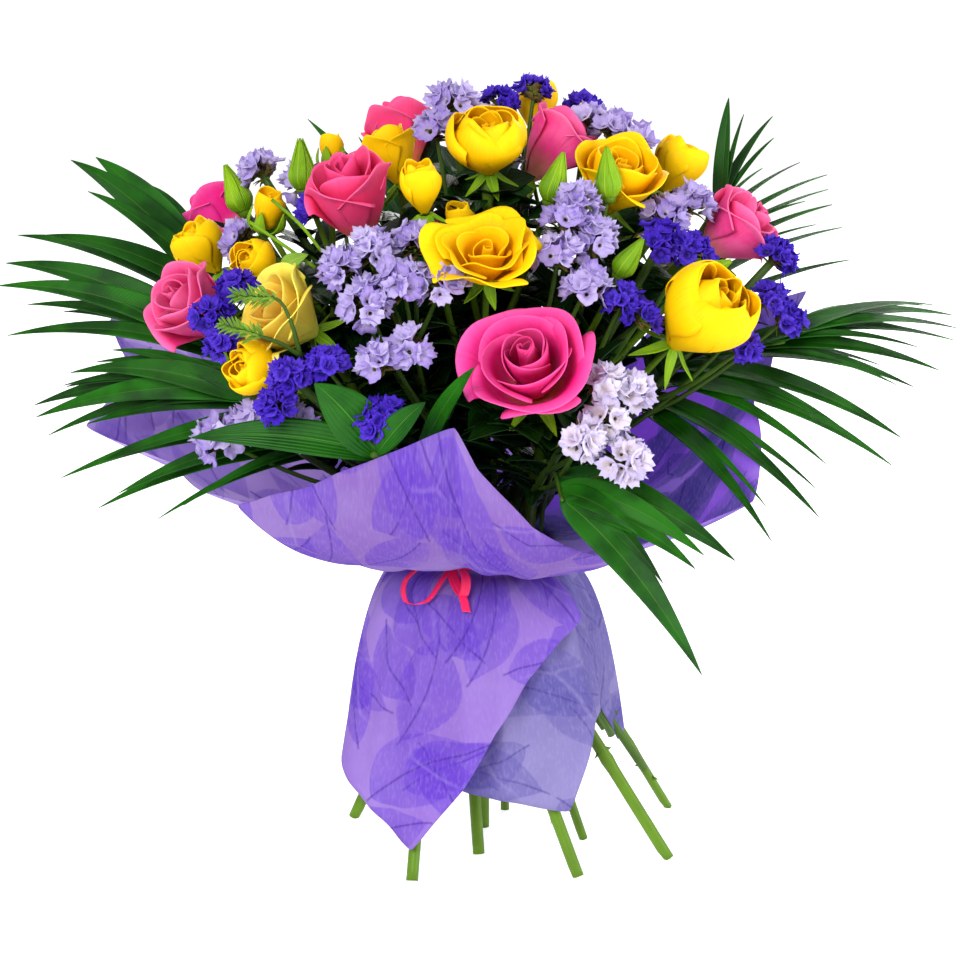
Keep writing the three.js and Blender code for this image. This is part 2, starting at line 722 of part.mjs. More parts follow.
// A palm frond or a twig: one stalk through the tie to its tip, with its leaves.
function leafyStem(leafy, swell) {
  const steps = 8;
  const start = strand(leafy.seat, NECK_HEIGHT + PETIOLE_RUN);
  const middle = start.clone().lerp(vector(leafy.tip), 0.55).addScaledVector(UP, leafy.arch);
  const points = [
    ...stemRun(leafy.seat, PETIOLE_FOOT, NECK_HEIGHT + PETIOLE_RUN), middle, vector(leafy.tip),
  ];
  const face = vector(leafy.face);
  return join([
    tube(points, (share) => lerp(PETIOLE_RADIUS, 0.9, share) + swell, 3, steps),
    ...leafy.leaves.map((each) => leaf(onTube(points, steps, each[0]), each, face, swell)),
  ]);
}

// ---- wrapping ---------------------------------------------------------------------------------

function alongOutline(outline, share) {
  const points = outline.map(vector);
  return new THREE.CatmullRomCurve3(points, false, 'catmullrom', OUTLINE_SOFTNESS).getPoint(share);
}

// One sheet of paper: skirt, straight neck and flaring collar in a single surface. A station
// runs from -1 at the hem, by -NECK_BAND to NECK_BAND round the neck, to 1 at the collar's rim.
function paperSheet(sheet, swell) {
  const place = (u, v) => {
    const row = v * (PAPER_STATIONS.length - 1);
    const below = Math.min(Math.floor(row), PAPER_STATIONS.length - 2);
    const station = lerp(PAPER_STATIONS[below], PAPER_STATIONS[below + 1], row - below);
    const isCollar = station > 0;
    const rim = alongOutline(isCollar ? sheet.collar : sheet.skirt, u);
    const share = Math.max(Math.abs(station) - NECK_BAND, 0) / (1 - NECK_BAND);
    const onBand = THREE.MathUtils.clamp(station / NECK_BAND, -1, 1);
    const edge = NECK_BAND_MIDDLE + NECK_BAND_HEIGHT * onBand;
    const climb = isCollar
      ? COLLAR_CLIMB * share + (1 - COLLAR_CLIMB) * share ** sheet.bow
      : share ** SKIRT_FALL;
    const sag = isCollar ? COLLAR_SAG * Math.sin(Math.PI * share) : 0;
    const out = lerp(sheet.neck, rim.y, isCollar ? share : share ** SKIRT_FLARE);
    return new THREE.Vector3(
      out * Math.cos(degrees(rim.x)),
      out * Math.sin(degrees(rim.x)),
      lerp(edge, rim.z, climb) - sag,
    );
  };
  const columns = sheet.collar.length - 1;
  return blade(columns, PAPER_STATIONS.length - 1, place, PAPER_THICKNESS + 2 * swell);
}

function ringBody(profile, segments) {
  const rings = Array.from({ length: segments }, (_, count) => {
    const angle = (2 * Math.PI * count) / segments;
    return profile.map(([out, height]) => new THREE.Vector3(
      out * Math.cos(angle),
      out * Math.sin(angle),
      height,
    ));
  });
  const sides = profile.length;
  const faces = [];
  for (let ring = 0; ring < segments; ring += 1) {
    for (let side = 0; side < sides; side += 1) {
      const [next, over] = [((ring + 1) % segments) * sides, (side + 1) % sides];
      faces.push([ring * sides + side, next + side, next + over]);
      faces.push([ring * sides + side, next + over, ring * sides + over]);
    }
  }
  return bodyOf(rings.flat(), faces);
}

// Turns of twine side by side, as one ring with a ridge for each turn.
function twineBinding() {
  const { radius, cord, turns, segments } = TWINE;
  const bottom = NECK_HEIGHT - turns * cord;
  const profile = [[radius, bottom], [radius, bottom + 2 * turns * cord]];
  for (let turn = turns - 1; turn >= 0; turn -= 1) {
    const middle = bottom + (2 * turn + 1) * cord;
    profile.push([radius + 1.9 * cord, middle]);
    if (turn > 0) {
      profile.push([radius + 1.2 * cord, middle - cord]);
    }
  }
  return ringBody(profile, segments);
}

// A strap of ribbon whose middle line is given as [azimuth, distance out, height].
function strap(line, half) {
  const curve = new THREE.CatmullRomCurve3(line.map(([azimuth, out, height]) => (
    direction(azimuth, 90).multiplyScalar(out).setZ(height)
  )));
  const aside = direction(line[0][0] + 90, 90).multiplyScalar(half);
  return blade(1, 5, (u, v) => (
    curve.getPoint(v).addScaledVector(aside, 2 * u - 1)
  ), RIBBON.thickness);
}

// The ribbon: a band round the neck, one hanging loop and one tail at the front.
function ribbonTie() {
  const { radius, thickness, width, bottom, segments } = RIBBON;
  const outer = radius + thickness;
  const band = ringBody([
    [radius, bottom],
    [outer, bottom],
    [outer, bottom + width],
    [radius, bottom + width],
  ], segments);
  const top = bottom + width;
  const loop = strap([
    [242, outer - 1, top - 1], [242, outer + 9, top - 3], [242, outer + 24, top - 12],
    [242, outer + 25, top - 18], [242, outer + 13, top - 11], [242, outer - 1, top - 6],
  ], width);
  const tail = strap([
    [262, outer - 1, top - 2], [262, outer + 9, top - 5], [262, outer + 21, top - 13],
    [262, outer + 28, top - 23],
  ], width);
  return join([band, loop, tail]);
}

// ---- assembly ---------------------------------------------------------------------------------

const bouquet = new THREE.Group();
bouquet.name = 'mixed_flower_bouquet';
const placed = [];

function touches(a, b) {
  return [0, 1, 2].every((axis) => a.min[axis] < b.max[axis] && b.min[axis] < a.max[axis]);
}

function largestPart(body) {
  return body.decompose().reduce((best, part) => (part.volume() > best.volume() ? part : best));
}

const belowFloor = bodyFrom(new THREE.BoxGeometry(600, 600, 40).translate(0, 0, -20));

function meshOf(name, body, colour, roughness) {
  const { vertProperties, triVerts, numProp } = body.getMesh();
  const positions = new Float32Array((vertProperties.length / numProp) * 3);
  for (let corner = 0; corner < positions.length / 3; corner += 1) {
    positions.set(vertProperties.subarray(corner * numProp, corner * numProp + 3), corner * 3);
  }
  const geometry = new THREE.BufferGeometry();
  geometry.setAttribute('position', new THREE.BufferAttribute(positions, 3));
  geometry.setIndex(new THREE.BufferAttribute(Uint32Array.from(triVerts), 1));
  geometry.computeVertexNormals();
  const material = new THREE.MeshStandardMaterial({ color: colour, roughness, metalness: 0 });
  const mesh = new THREE.Mesh(geometry, material);
  mesh.name = name;
  return mesh;
}

// Adds a piece, bent clear of everything placed before it by a cut with a small gap.
function place(name, make, colour, roughness = 0.7) {
  let body = make(0);
  const box = body.boundingBox();
  for (const other of placed) {
    if (touches(box, other.box)) {
      body = body.subtract(other.keepOut);
    }
  }
  body = largestPart(body.subtract(belowFloor));
  const keepOut = make(GAP);
  placed.push({ keepOut, box: keepOut.boundingBox() });
  bouquet.add(meshOf(name, body, colour, roughness));
}

const roses = PINK_ROSES.map((bloom, count) => ({
  name: `pink_rose_${count + 1}`,
  bloom,
  target: bloomBase(bloom),
  radius: ROSE_STEM_RADIUS,
}));

const yellowSprays = YELLOW_SPRAYS.map((spray, count) => {
  const tips = [
    ...spray.blooms.map((bloom) => bloomBase(bloom)),
    ...spray.buds.map(({ tip, facing, size }) => (
      vector(tip).addScaledVector(direction(...facing), -BUD_HIP * size)
    )),
  ];
  return {
    name: `yellow_spray_stem_${count + 1}`,
    blooms: spray.blooms,
    buds: spray.buds,
    tips,
    target: middleOf(tips),
    radius: SPRAY_STEM_RADIUS,
    sides: 4,
    foot: SAWN_LENGTH,
  };
});

function staticeSprays(kind, sprays) {
  return sprays.map((heads, count) => {
    const tips = heads.map(vector);
    return {
      name: `${kind}_statice_${count + 1}`,
      heads,
      tips,
      target: middleOf(tips),
      radius: STATICE_STEM_RADIUS,
      sides: 3,
      foot: STATICE_STEM_FOOT,
    };
  });
}

const lilacSprays = staticeSprays('lilac', LILAC_SPRAYS);
const violetSprays = staticeSprays('violet', VIOLET_SPRAYS);
seatStems([...roses, ...yellowSprays, ...lilacSprays, ...violetSprays]);

const fronds = PALM_FRONDS.map((frond, count) => ({ name: `palm_frond_${count + 1}`, ...frond }));
const sprigs = RUSCUS_SPRIGS.map((twig, count) => ({ name: `ruscus_sprig_${count + 1}`, ...twig }));
for (const leafy of [...fronds, ...sprigs]) {
  const aim = vector(leafy.tip).setZ(NECK_HEIGHT + PETIOLE_AIM);
  leafy.seat = seatFor(aim, GREENERY_RING, PETIOLE_RADIUS);
}
spaceOut([...fronds, ...sprigs].map((leafy) => leafy.seat));

for (const stem of roses) {
  place(stem.name, (swell) => rose(stem.bloom, swell), COLOURS.pink, 0.6);
  place(`${stem.name}_stem`, (swell) => roseStem(stem, swell), COLOURS.stem);
}
for (const spray of yellowSprays) {
  spray.blooms.forEach((bloom, count) => {
    const letter = 'abc'[count];
    const name = `${spray.name.replace('stem', 'rose')}${letter}`;
    place(name, (swell) => rose(bloom, swell), COLOURS.yellow, 0.6);
  });
  place(spray.name, (swell) => yellowStem(spray, swell), COLOURS.stem);
}
for (const frond of fronds) {
  place(frond.name, (swell) => leafyStem(frond, swell), COLOURS.frond, 0.5);
}
for (const sprig of sprigs) {
  place(sprig.name, (swell) => leafyStem(sprig, swell), COLOURS.frond, 0.5);
}
for (const spray of lilacSprays) {
  place(spray.name, (swell) => staticeSpray(spray, swell), COLOURS.lilac, 0.8);
}
for (const spray of violetSprays) {
  place(spray.name, (swell) => staticeSpray(spray, swell), COLOURS.violet, 0.8);
}
PAPER_SHEETS.forEach((sheet, count) => {
  place(`paper_sheet_${count + 1}`, (swell) => paperSheet(sheet, swell), COLOURS.paper, 0.9);
});
place('ribbon', ribbonTie, COLOURS.ribbon, 0.3);
place('binding_twine', twineBinding, COLOURS.twine, 0.9);

export default bouquet;
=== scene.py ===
import math

import bpy
import numpy as np
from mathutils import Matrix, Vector


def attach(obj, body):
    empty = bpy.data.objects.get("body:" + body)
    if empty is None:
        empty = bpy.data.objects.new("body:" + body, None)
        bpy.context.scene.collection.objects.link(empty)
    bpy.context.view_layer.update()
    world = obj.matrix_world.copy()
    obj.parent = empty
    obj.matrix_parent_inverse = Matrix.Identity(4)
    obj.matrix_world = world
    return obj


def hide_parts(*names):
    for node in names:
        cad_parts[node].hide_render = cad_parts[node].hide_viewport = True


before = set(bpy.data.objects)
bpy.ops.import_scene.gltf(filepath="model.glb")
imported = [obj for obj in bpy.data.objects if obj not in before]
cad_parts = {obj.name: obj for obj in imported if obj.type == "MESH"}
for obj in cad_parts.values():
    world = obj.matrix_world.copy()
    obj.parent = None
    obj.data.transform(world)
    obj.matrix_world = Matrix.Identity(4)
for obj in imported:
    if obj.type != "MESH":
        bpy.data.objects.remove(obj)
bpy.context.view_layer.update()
bpy.ops.object.select_all(action="DESELECT")

# ---- measures, in millimetres, in the frame of the CAD model --------------------------------

MM = 0.001
NECK_HEIGHT = 150
FOOT_SPREAD = 0.58
NECK_SOFTNESS = 18
STEM_RINGS = [(0, 1), (7.2, 5), (14.6, 9), (22, 11)]
SPACING_PASSES = 400
SEAT_GAP = 0.77
GREENERY_RING, GREENERY_CROSSING = 28.2, 90
STEEPEST_LEAN = 1.12
ROSE_STEM, SPRAY_STEM, STATICE_STEM, PETIOLE = 3.2, 2.5, 2.1, 1.6
ROSE_FOOT, STATICE_FOOT, PETIOLE_FOOT = 0, 34, 62
# Half the stretch at the tie in which stems run along their seats, and the gap under a bloom.
SEAT_REACH, BLOOM_GAP = 12, 0.6
# How far above the tie a stem stays straight, and how long the bent end of a rose stem is.
ROSE_STRAIGHT, SPRAY_STRAIGHT, LEAFY_STRAIGHT, ROSE_BEND = 42, 30, 26, 26

# Blooms: place, facing as azimuth and lean from vertical, radius, height.
PINK_ROSES = [
    ((21, -118, 261), (256, 48), 32, 44),
    ((-62, -36, 326), (232, 24), 21, 50),
    ((34, 22, 345), (20, 42), 19, 42),
    ((121, 0, 307), (350, 52), 19, 40),
    ((-136, -46, 276), (218, 58), 20, 44),
    ((-133, 60, 304), (155, 52), 18, 38),
    ((-41, 72, 345), (125, 25), 18, 40),
    ((-7, 122, 280), (95, 48), 24, 44),
]
# Spray roses: the blooms of a stem, and its buds as tip, facing, size and colour. A slit bud
# shows yellow between closed sepals, and a yellow one has begun to open.
YELLOW_SPRAYS = [
    ([((2, -24, 352), (265, 22), 22, 31), ((-29, -62, 336), (240, 14), 10.5, 25),
      ((1, -92, 308), (268, 34), 23, 28)],
     [((36, -54, 348), (345, 16), 1.15, "slit"), ((-12, -50, 326), (250, 20), 1.0, "yellow")]),
    ([((64, -25, 335), (300, 30), 22, 36), ((101, -76, 278), (322, 46), 25, 46)],
     [((58, -50, 350), (180, 4), 1.15, "green"), ((112, -60, 300), (350, 62), 1.25, "green"),
      ((72, -72, 311), (350, 34), 1.0, "green")]),
    ([((-91, -84, 279), (212, 60), 23, 36), ((-104, -98, 257), (222, 70), 14, 26)], []),
    ([((-107, -44, 298), (225, 60), 12, 23), ((-138, 4, 297), (190, 36), 14, 27),
      ((-45, 8, 343), (150, 20), 14, 30)],
     [((-89, 0, 348), (120, 6), 1.2, "green"), ((-126, 20, 333), (160, 24), 1.2, "slit"),
      ((-103, -20, 328), (300, 18), 1.15, "yellow"), ((-76, 30, 350), (100, 12), 0.9, "yellow")]),
    ([((95, 28, 335), (10, 30), 14, 28), ((26, 52, 363), (60, 20), 11, 24),
      ((84, 96, 302), (48, 48), 20, 32)],
     [((53, 50, 363), (40, 10), 0.9, "yellow")]),
]
# Statice heads: x, y, z and radius.
LILAC_SPRAYS = [
    [(-51, -84, 309, 12), (-66, -90, 302, 11), (-54, -102, 288, 12), (-37, -98, 298, 12),
     (-32, -76, 311, 11), (-20, -96, 295, 12), (-47, -124, 265, 9), (-33, -118, 270, 9)],
    [(51, -66, 314, 12), (38, -70, 322, 11), (35, -80, 307, 11), (47, -88, 293, 11),
     (44, -60, 330, 9)],
    [(55, -112, 252, 10), (68, -104, 247, 11), (45, -128, 231, 11), (64, -126, 220, 11),
     (56, -120, 238, 9)],
    [(87, -30, 318, 11), (100, -16, 321, 11), (63, 20, 355, 11), (53, 26, 358, 9),
     (74, 10, 348, 10)],
    [(-110, 20, 334, 11), (-89, 10, 330, 9), (-117, -12, 305, 10), (-74, 102, 304, 14)],
    [(-15, 10, 369, 11), (-23, -8, 357, 10), (-4, 76, 353, 12), (26, 100, 332, 14)],
    [(-106, -96, 231, 12), (-88, -106, 233, 11), (-124, -92, 223, 10)],
]
VIOLET_SPRAYS = [
    [(-115, -66, 289, 11), (-126, -82, 279, 10), (-120, -92, 269, 8)],
    [(-87, -122, 258, 10), (-72, -124, 264, 10), (-94, -122, 245, 9), (-47, -130, 240, 12)],
    [(84, -50, 309, 11), (98, -46, 304, 11), (64, -86, 287, 8), (73, -86, 279, 7)],
    [(142, -16, 297, 10), (136, -44, 281, 10), (145, -34, 269, 9), (122, -66, 261, 9)],
    [(8, 30, 367, 9), (25, 34, 372, 8), (50, 72, 358, 11), (-82, -20, 320, 9), (60, 120, 286, 14)],
]
# Palm fronds: tip of the midrib, arch, face of the leaflets, and each leaflet as share along
# the midrib, tip and width.
PALM_FRONDS = [
    ((-146, 38, 284), 0, (-0.1, -0.7, 0.7),
     [(0.99, (-197, 60, 337), 19), (0.96, (-207, 40, 338), 17), (0.93, (-197, 26, 324), 12),
      (0.9, (-217, 14, 304), 14), (0.86, (-235, 40, 300), 14), (0.97, (-172, 92, 318), 14)]),
    ((-140, -24, 262), 4, (0, -0.6, 0.8),
     [(0.98, (-235, 0, 292), 18), (0.95, (-236, -20, 284), 18), (0.9, (-230, -34, 262), 13),
      (0.86, (-228, 20, 268), 14), (0.82, (-212, 34, 262), 14)]),
    ((-114, -70, 239), 20, (0, -0.7, 0.7),
     [(0.99, (-197, -56, 248), 16), (0.97, (-217, -40, 229), 18), (0.94, (-213, -64, 228), 17),
      (0.92, (-200, -50, 240), 15), (0.78, (-188, -70, 226), 14), (0.76, (-181, -96, 212), 15),
      (0.74, (-199, -84, 203), 15), (0.72, (-169, -112, 202), 14), (0.7, (-179, -108, 194), 13)]),
    ((124, 50, 312), 6, (-0.5, -0.2, 0.8),
     [(0.99, (124, 60, 367), 11), (0.97, (147, 66, 357), 10), (0.95, (139, 30, 335), 9),
      (0.93, (161, 62, 334), 9), (0.91, (173, 44, 330), 10), (0.89, (175, 56, 321), 10),
      (0.87, (175, 36, 316), 9), (0.84, (183, 60, 301), 10), (0.8, (184, 30, 289), 9)]),
    ((146, -30, 258), 22, (-0.2, -0.35, 0.9),
     [(0.99, (199, 10, 268), 12), (0.97, (220, -10, 273), 13), (0.94, (232, 0, 266), 14),
      (0.92, (229, -30, 265), 14), (0.89, (230, -20, 257), 14), (0.87, (220, -40, 246), 15),
      (0.84, (209, -30, 236), 15), (0.8, (201, -50, 215), 15), (0.76, (194, -70, 206), 15),
      (0.72, (159, -80, 183), 13), (0.7, (135, -100, 176), 11)]),
    ((36, -126, 202), 14, (0.1, -0.8, 0.6),
     [(0.99, (101, -130, 120), 18), (0.97, (98, -120, 168), 15), (0.86, (116, -124, 173), 18),
      (0.92, (101, -134, 178), 14), (0.89, (82, -138, 166), 13), (0.95, (70, -142, 190), 12)]),
    ((-20, 118, 240), 20, (0, 0.7, 0.7),
     [(0.99, (-92, 110, 351), 14), (0.97, (-66, 124, 340), 12),
      (0.92, (-112, 164, 250), 14), (0.9, (-52, 190, 262), 14),
      (0.86, (92, 166, 256), 14), (0.78, (6, 200, 252), 14)]),
]
# How much further down its midrib each leaflet starts here than in the CAD model, and how broad.
LEAFLET_STARTS, LEAFLET_BREADTHS = {"palm_frond_4": 1.9}, {"palm_frond_4": 1.25}
# Leaves whose leaflets each have a slimmer one beside them.
FINE_FRONDS = ("palm_frond_3", "palm_frond_4", "palm_frond_5", "palm_frond_7")
# Ruscus: tip of the twig, and each leaf as share along the twig, tip and width.
RUSCUS_SPRIGS = [
    ((-50, -138, 226),
     [(0.98, (-76, -138, 259), 23), (0.93, (-134, -120, 230), 17), (0.99, (-26, -146, 252), 12),
      (0.86, (-4, -146, 268), 9)]),
    ((60, 130, 226),
     [(0.98, (96, 172, 236), 22), (0.92, (18, 176, 238), 22), (0.86, (118, 128, 262), 20),
      (0.99, (62, 158, 268), 20)]),
]
# Young statice combs in front of the left side: stalk foot, comb foot and comb tip.
COMBS = [((-84, -108, 266), (-94, -112, 293), (-113, -115, 295)),
         ((-84, -108, 266), (-100, -116, 276), (-119, -120, 283))]
# Bare twigs of the fourth spray, through three places each, and its one pale leaf.
THIN_TWIGS = [((-110, -60, 321), (-94, -66, 311), (-79, -66, 300)),
              ((-100, -50, 330), (-86, -58, 319), (-76, -62, 307))]
PALE_LEAF = ((-95, -68, 300), (-82, -70, 307))
# Paper sheets: radius at the neck, bow of the collar, and both rims as azimuth, out, height.
PAPER_SHEETS = [
    (37.8, 3.4,
     [(196, 60, 157), (207, 118, 171), (220, 149, 192), (233, 148, 206), (245, 149, 219),
      (256, 151, 230), (265, 150, 239), (269, 150, 221), (279, 142, 193), (292, 124, 176),
      (306, 109, 164)],
     [(186, 67, 59), (202, 75, 53), (218, 82, 41), (233, 86, 28), (246, 88, 16), (255, 89, 33),
      (264, 89, 51), (274, 82, 76), (287, 76, 99), (300, 70, 113), (314, 66, 125)]),
    (35.4, 2.0,
     [(262, 50, 158), (288, 100, 163), (309, 122, 173), (331, 147, 189), (340, 144, 209),
      (352, 135, 228), (372, 150, 248), (380, 176, 268), (399, 175, 255), (415, 158, 235),
      (424, 56, 162)],
     [(256, 65, 44), (278, 75, 39), (302, 80, 32), (316, 74, 72), (334, 65, 77), (352, 70, 50),
      (368, 68, 58), (380, 67, 64), (398, 63, 84), (412, 56, 104), (424, 50, 120)]),
    (33.5, 1.3,
     [(50, 60, 168), (72, 128, 212), (96, 158, 240), (120, 146, 226), (150, 190, 251),
      (168, 193, 256), (180, 174, 236), (189, 198, 219), (202, 162, 205), (209, 151, 192),
      (216, 58, 164)],
     [(50, 44, 126), (78, 60, 92), (104, 70, 64), (128, 66, 72), (148, 68, 66), (165, 66, 80),
      (176, 62, 90), (188, 56, 104), (198, 50, 116), (207, 46, 124), (216, 42, 130)]),
]
# Cut size of each sheet in metres, and its area in square metres: pointed, not square.
SHEET_CUTS = [(0.3, 0.3, 0.045), (0.34, 0.34, 0.06), (0.34, 0.36, 0.065)]
COLLAR_CLIMB, COLLAR_SAG = 0.1, 2.5
SKIRT_FALL, SKIRT_FLARE = 1.35, 0.5
OUTLINE_SOFTNESS = 0.14
NECK_BAND = 0.04
PLEATS, FINE_PLEATS, BROAD_FOLDS = 22, 31, 7
TWINE_RADIUS, TWINE_CORD, TWINE_TURNS = 31, 0.85, 3
PLY_RADIUS, PLY_OFFSET, PLY_TWISTS, PLY_STEPS = 0.42, 0.4, 40, 180
RIBBON_RADIUS, RIBBON_WIDTH, RIBBON_BOTTOM = 39.8, 5, 146.5
BAND_DEPTH, BAND_BULGE, BAND_SIDES = 0.5, 0.2, 96
# The ribbon's loops and its tail from the knot on, each with half its breadth: azimuth, out from
# the band's front and up from its top edge.
KNOT = (250, 3, -2)
RIBBON_ENDS = [
    ([KNOT, (238, 12, -1), (231, 21, -9), (234, 24, -18), (243, 22, -17), (248, 13, -7), KNOT],
     1.3),
    ([KNOT, (256, 12, 1), (262, 21, -4), (261, 23, -12), (254, 14, -7), KNOT], 2.4),
    ([KNOT, (254, 12, -5), (260, 21, -11), (263, 27, -19)], 2.2),
]

# How thick the thin pieces are.
PETAL_THICK, BUD_PETAL_THICK, SEPAL_THICK, FLORET_THICK = 0.5, 0.4, 0.5, 0.22
LEAF_THICK, PALM_THICK, RUSCUS_THICK, SCALE_THICK = 0.35, 0.4, 0.6, 0.3
PAPER_THICK, STRAP_THICK = 0.35, 0.4
# How many there are of each, and how large.
PINK_THORNS, SPRAY_THORNS = 6, 4
PINK_LEAF, SPRAY_LEAF = 34, 31
SEPALS, PINK_SEPAL, SPRAY_SEPAL = 5, 3.4, 2.6
PINK_HIP, SPRAY_HIP = 2.4, 1.2
STATICE_LEAVES, BRACTS_PER_HEAD, TWIGS_PER_HEAD, SCALES_PER_COMB = 24, 18, 5, 46
# Statice kinds: florets in a head of the usual radius, their mouth, and how pale some are.
USUAL_HEAD = 11
LILAC_FLORETS, VIOLET_FLORETS = (15, 5.3, 0.7), (27, 4.2, 0.6)
# First seed of each kind of plant.
SEEDS = {"pink": 20, "pink_stem": 40, "yellow": 60, "yellow_stem": 90, "lilac": 110,
         "violet": 130, "palm": 150, "ruscus": 170, "comb": 200}
GOLDEN_TURN, LEAF_TURN = math.radians(137.5), 137

# ---- camera, floor and light ------------------------------------------------------------------

VIEW_ELEVATION = math.radians(13)
VIEW_DISTANCE = 1.5
VIEW_TARGET = Vector((0, 0, 0.183))
SENSOR = 36
FOCAL_PIXELS, IMAGE_WIDTH = 3000, 967
# Square lights: place, size and power in watts.
LIGHTS = {"key_light": ((-0.8, -1.9, 1.25), 1.0, 52), "side_light": ((1.6, -0.4, 0.6), 1.2, 24),
          "back_light": ((0.4, 1.7, 1.1), 1.0, 28)}
WHITE = (1, 1, 1, 1)
AIR_STRENGTH = 0.5
FLOOR_SIZE, FLOOR_GREY, FLOOR_ROUGH, FLOOR_GLOW = 30, 0.8, 0.9, 0.65


def set_camera():
    bpy.ops.object.camera_add()
    camera = bpy.context.object
    camera.name = "front_view"
    back = Vector((0, -math.cos(VIEW_ELEVATION), math.sin(VIEW_ELEVATION)))
    camera.location = VIEW_TARGET + back * VIEW_DISTANCE
    camera.rotation_euler = back.to_track_quat("Z", "Y").to_euler()
    camera.data.sensor_width = SENSOR
    camera.data.lens = SENSOR * FOCAL_PIXELS / IMAGE_WIDTH
    bpy.context.scene.camera = camera


def add_light(name, place, size, power):
    bpy.ops.object.light_add(type="AREA", location=place)
    light = bpy.context.object
    light.name = name
    light.data.shape = "SQUARE"
    light.data.size = size
    light.data.energy = power
    towards = VIEW_TARGET - Vector(place)
    light.rotation_euler = towards.to_track_quat("-Z", "Y").to_euler()


def set_studio():
    scene = bpy.context.scene
    scene.view_settings.view_transform = "Standard"
    scene.world = bpy.data.worlds.new("studio_air")
    scene.world.use_nodes = True
    air = scene.world.node_tree.nodes["Background"]
    air.inputs["Color"].default_value = WHITE
    air.inputs["Strength"].default_value = AIR_STRENGTH
    for name, light in LIGHTS.items():
        add_light(name, *light)
    bpy.ops.mesh.primitive_plane_add(size=FLOOR_SIZE)
    floor = bpy.context.object
    floor.name = "floor"
    paint = bpy.data.materials.new("floor_paint")
    paint.use_nodes = True
    shader = paint.node_tree.nodes["Principled BSDF"]
    shader.inputs["Base Color"].default_value = (FLOOR_GREY, FLOOR_GREY, FLOOR_GREY, 1)
    shader.inputs["Roughness"].default_value = FLOOR_ROUGH
    shader.inputs["Emission Color"].default_value = WHITE
    shader.inputs["Emission Strength"].default_value = FLOOR_GLOW
    floor.data.materials.append(paint)


set_camera()
set_studio()

# ---- numbers and curves -----------------------------------------------------------------------


def lerp(low, high, share):
    return low + (high - low) * share


def smooth_step(low, high, value):
    share = np.clip((value - low) / (high - low), 0, 1)
    return share * share * (3 - 2 * share)


def unit(direction):
    return np.asarray(direction, float) / np.linalg.norm(direction)


def direction_of(azimuth, lean):
    azimuth, lean = math.radians(azimuth), math.radians(lean)
    return np.array([math.sin(lean) * math.cos(azimuth), math.sin(lean) * math.sin(azimuth),
                     math.cos(lean)])


def turn_onto(axis):
    """The turn that takes straight up onto an axis, as a 3 x 3 array."""
    return np.array(Vector((0, 0, 1)).rotation_difference(Vector(axis)).to_matrix())


# A smooth curve is blended in three rounds, each over these spans of its knots.
KNOT_SPANS = (((0, 1), (1, 2), (2, 3)), ((0, 2), (1, 3)), ((1, 2),))


def through(points, steps):
    """Points along a smooth curve through the given points."""
    points = np.asarray(points, float)
    p = np.concatenate([[2 * points[0] - points[1]], points, [2 * points[-1] - points[-2]]])
    made = []
    for i in range(len(points) - 1):
        knots = np.cumsum([0] + [np.linalg.norm(p[i + j + 1] - p[i + j]) ** 0.5 for j in range(3)])
        t = np.linspace(knots[1], knots[2], steps, endpoint=False)[:, None]
        level = [p[i + j] for j in range(4)]
        for spans in KNOT_SPANS:
            level = [((knots[high] - t) * level[j] + (t - knots[low]) * level[j + 1])
                     / (knots[high] - knots[low]) for j, (low, high) in enumerate(spans)]
        made.append(level[0])
    return np.concatenate([*made, points[-1:]])


class Path:
    """A smooth curve read by its share of length."""

    def __init__(self, points, steps=40):
        self.line = through(points, steps)
        lengths = np.linalg.norm(np.diff(self.line, axis=0), axis=1)
        self.reach = np.concatenate([[0], np.cumsum(lengths)])
        self.length = self.reach[-1]

    def at(self, share):
        where = np.asarray(share, float) * self.length
        return np.stack([np.interp(where, self.reach, self.line[:, k]) for k in range(3)], -1)

    def along(self, share, step=0.004):
        return unit(self.at(min(share + step, 1)) - self.at(max(share - step, 0)))

    def share_at_height(self, height):
        return float(np.interp(height, self.line[:, 2], self.reach) / self.length)


# ---- spiralled stems --------------------------------------------------------------------------


def spread(height):
    """Sideways run of a stem at a height, per unit of its lean."""
    rise = height - NECK_HEIGHT
    soft = math.hypot(rise, NECK_SOFTNESS) - NECK_SOFTNESS
    return ((1 + FOOT_SPREAD) * rise + (1 - FOOT_SPREAD) * soft) / 2


def strand(seat, height):
    """Where the stem of a seat is at a height: along its lean, and beside the middle."""
    out = seat["lean"] * spread(height)
    cos, sin = math.cos(seat["turn"]), math.sin(seat["turn"])
    return np.array([out * cos - seat["ring"] * sin, out * sin + seat["ring"] * cos, height])


def seat_for(target, ring, radius):
    """The seat in a ring of the tie from which a stem runs to its target."""
    flat = math.hypot(target[0], target[1])
    out = math.sqrt(max(flat * flat - ring * ring, 1))
    turn = math.atan2(target[1], target[0]) - math.atan2(ring, out)
    lean = min(out / spread(target[2]), STEEPEST_LEAN)
    return {"ring": ring, "radius": radius, "turn": turn, "lean": lean}


def space_out(seats):
    """Turns the seats of a ring apart until neighbouring stems clear each other."""
    seats.sort(key=lambda seat: seat["turn"])
    for _ in range(SPACING_PASSES):
        for place, seat in enumerate(seats):
            last = place + 1 == len(seats)
            near = seats[0 if last else place + 1]
            steep = math.cos(math.atan(max(seat["lean"], near["lean"])))
            needed = (seat["radius"] + near["radius"] + SEAT_GAP) / (seat["ring"] * steep)
            short = needed - (near["turn"] + (2 * math.pi if last else 0) - seat["turn"])
            if short > 0 and near is not seat:
                seat["turn"] -= short / 2
                near["turn"] += short / 2


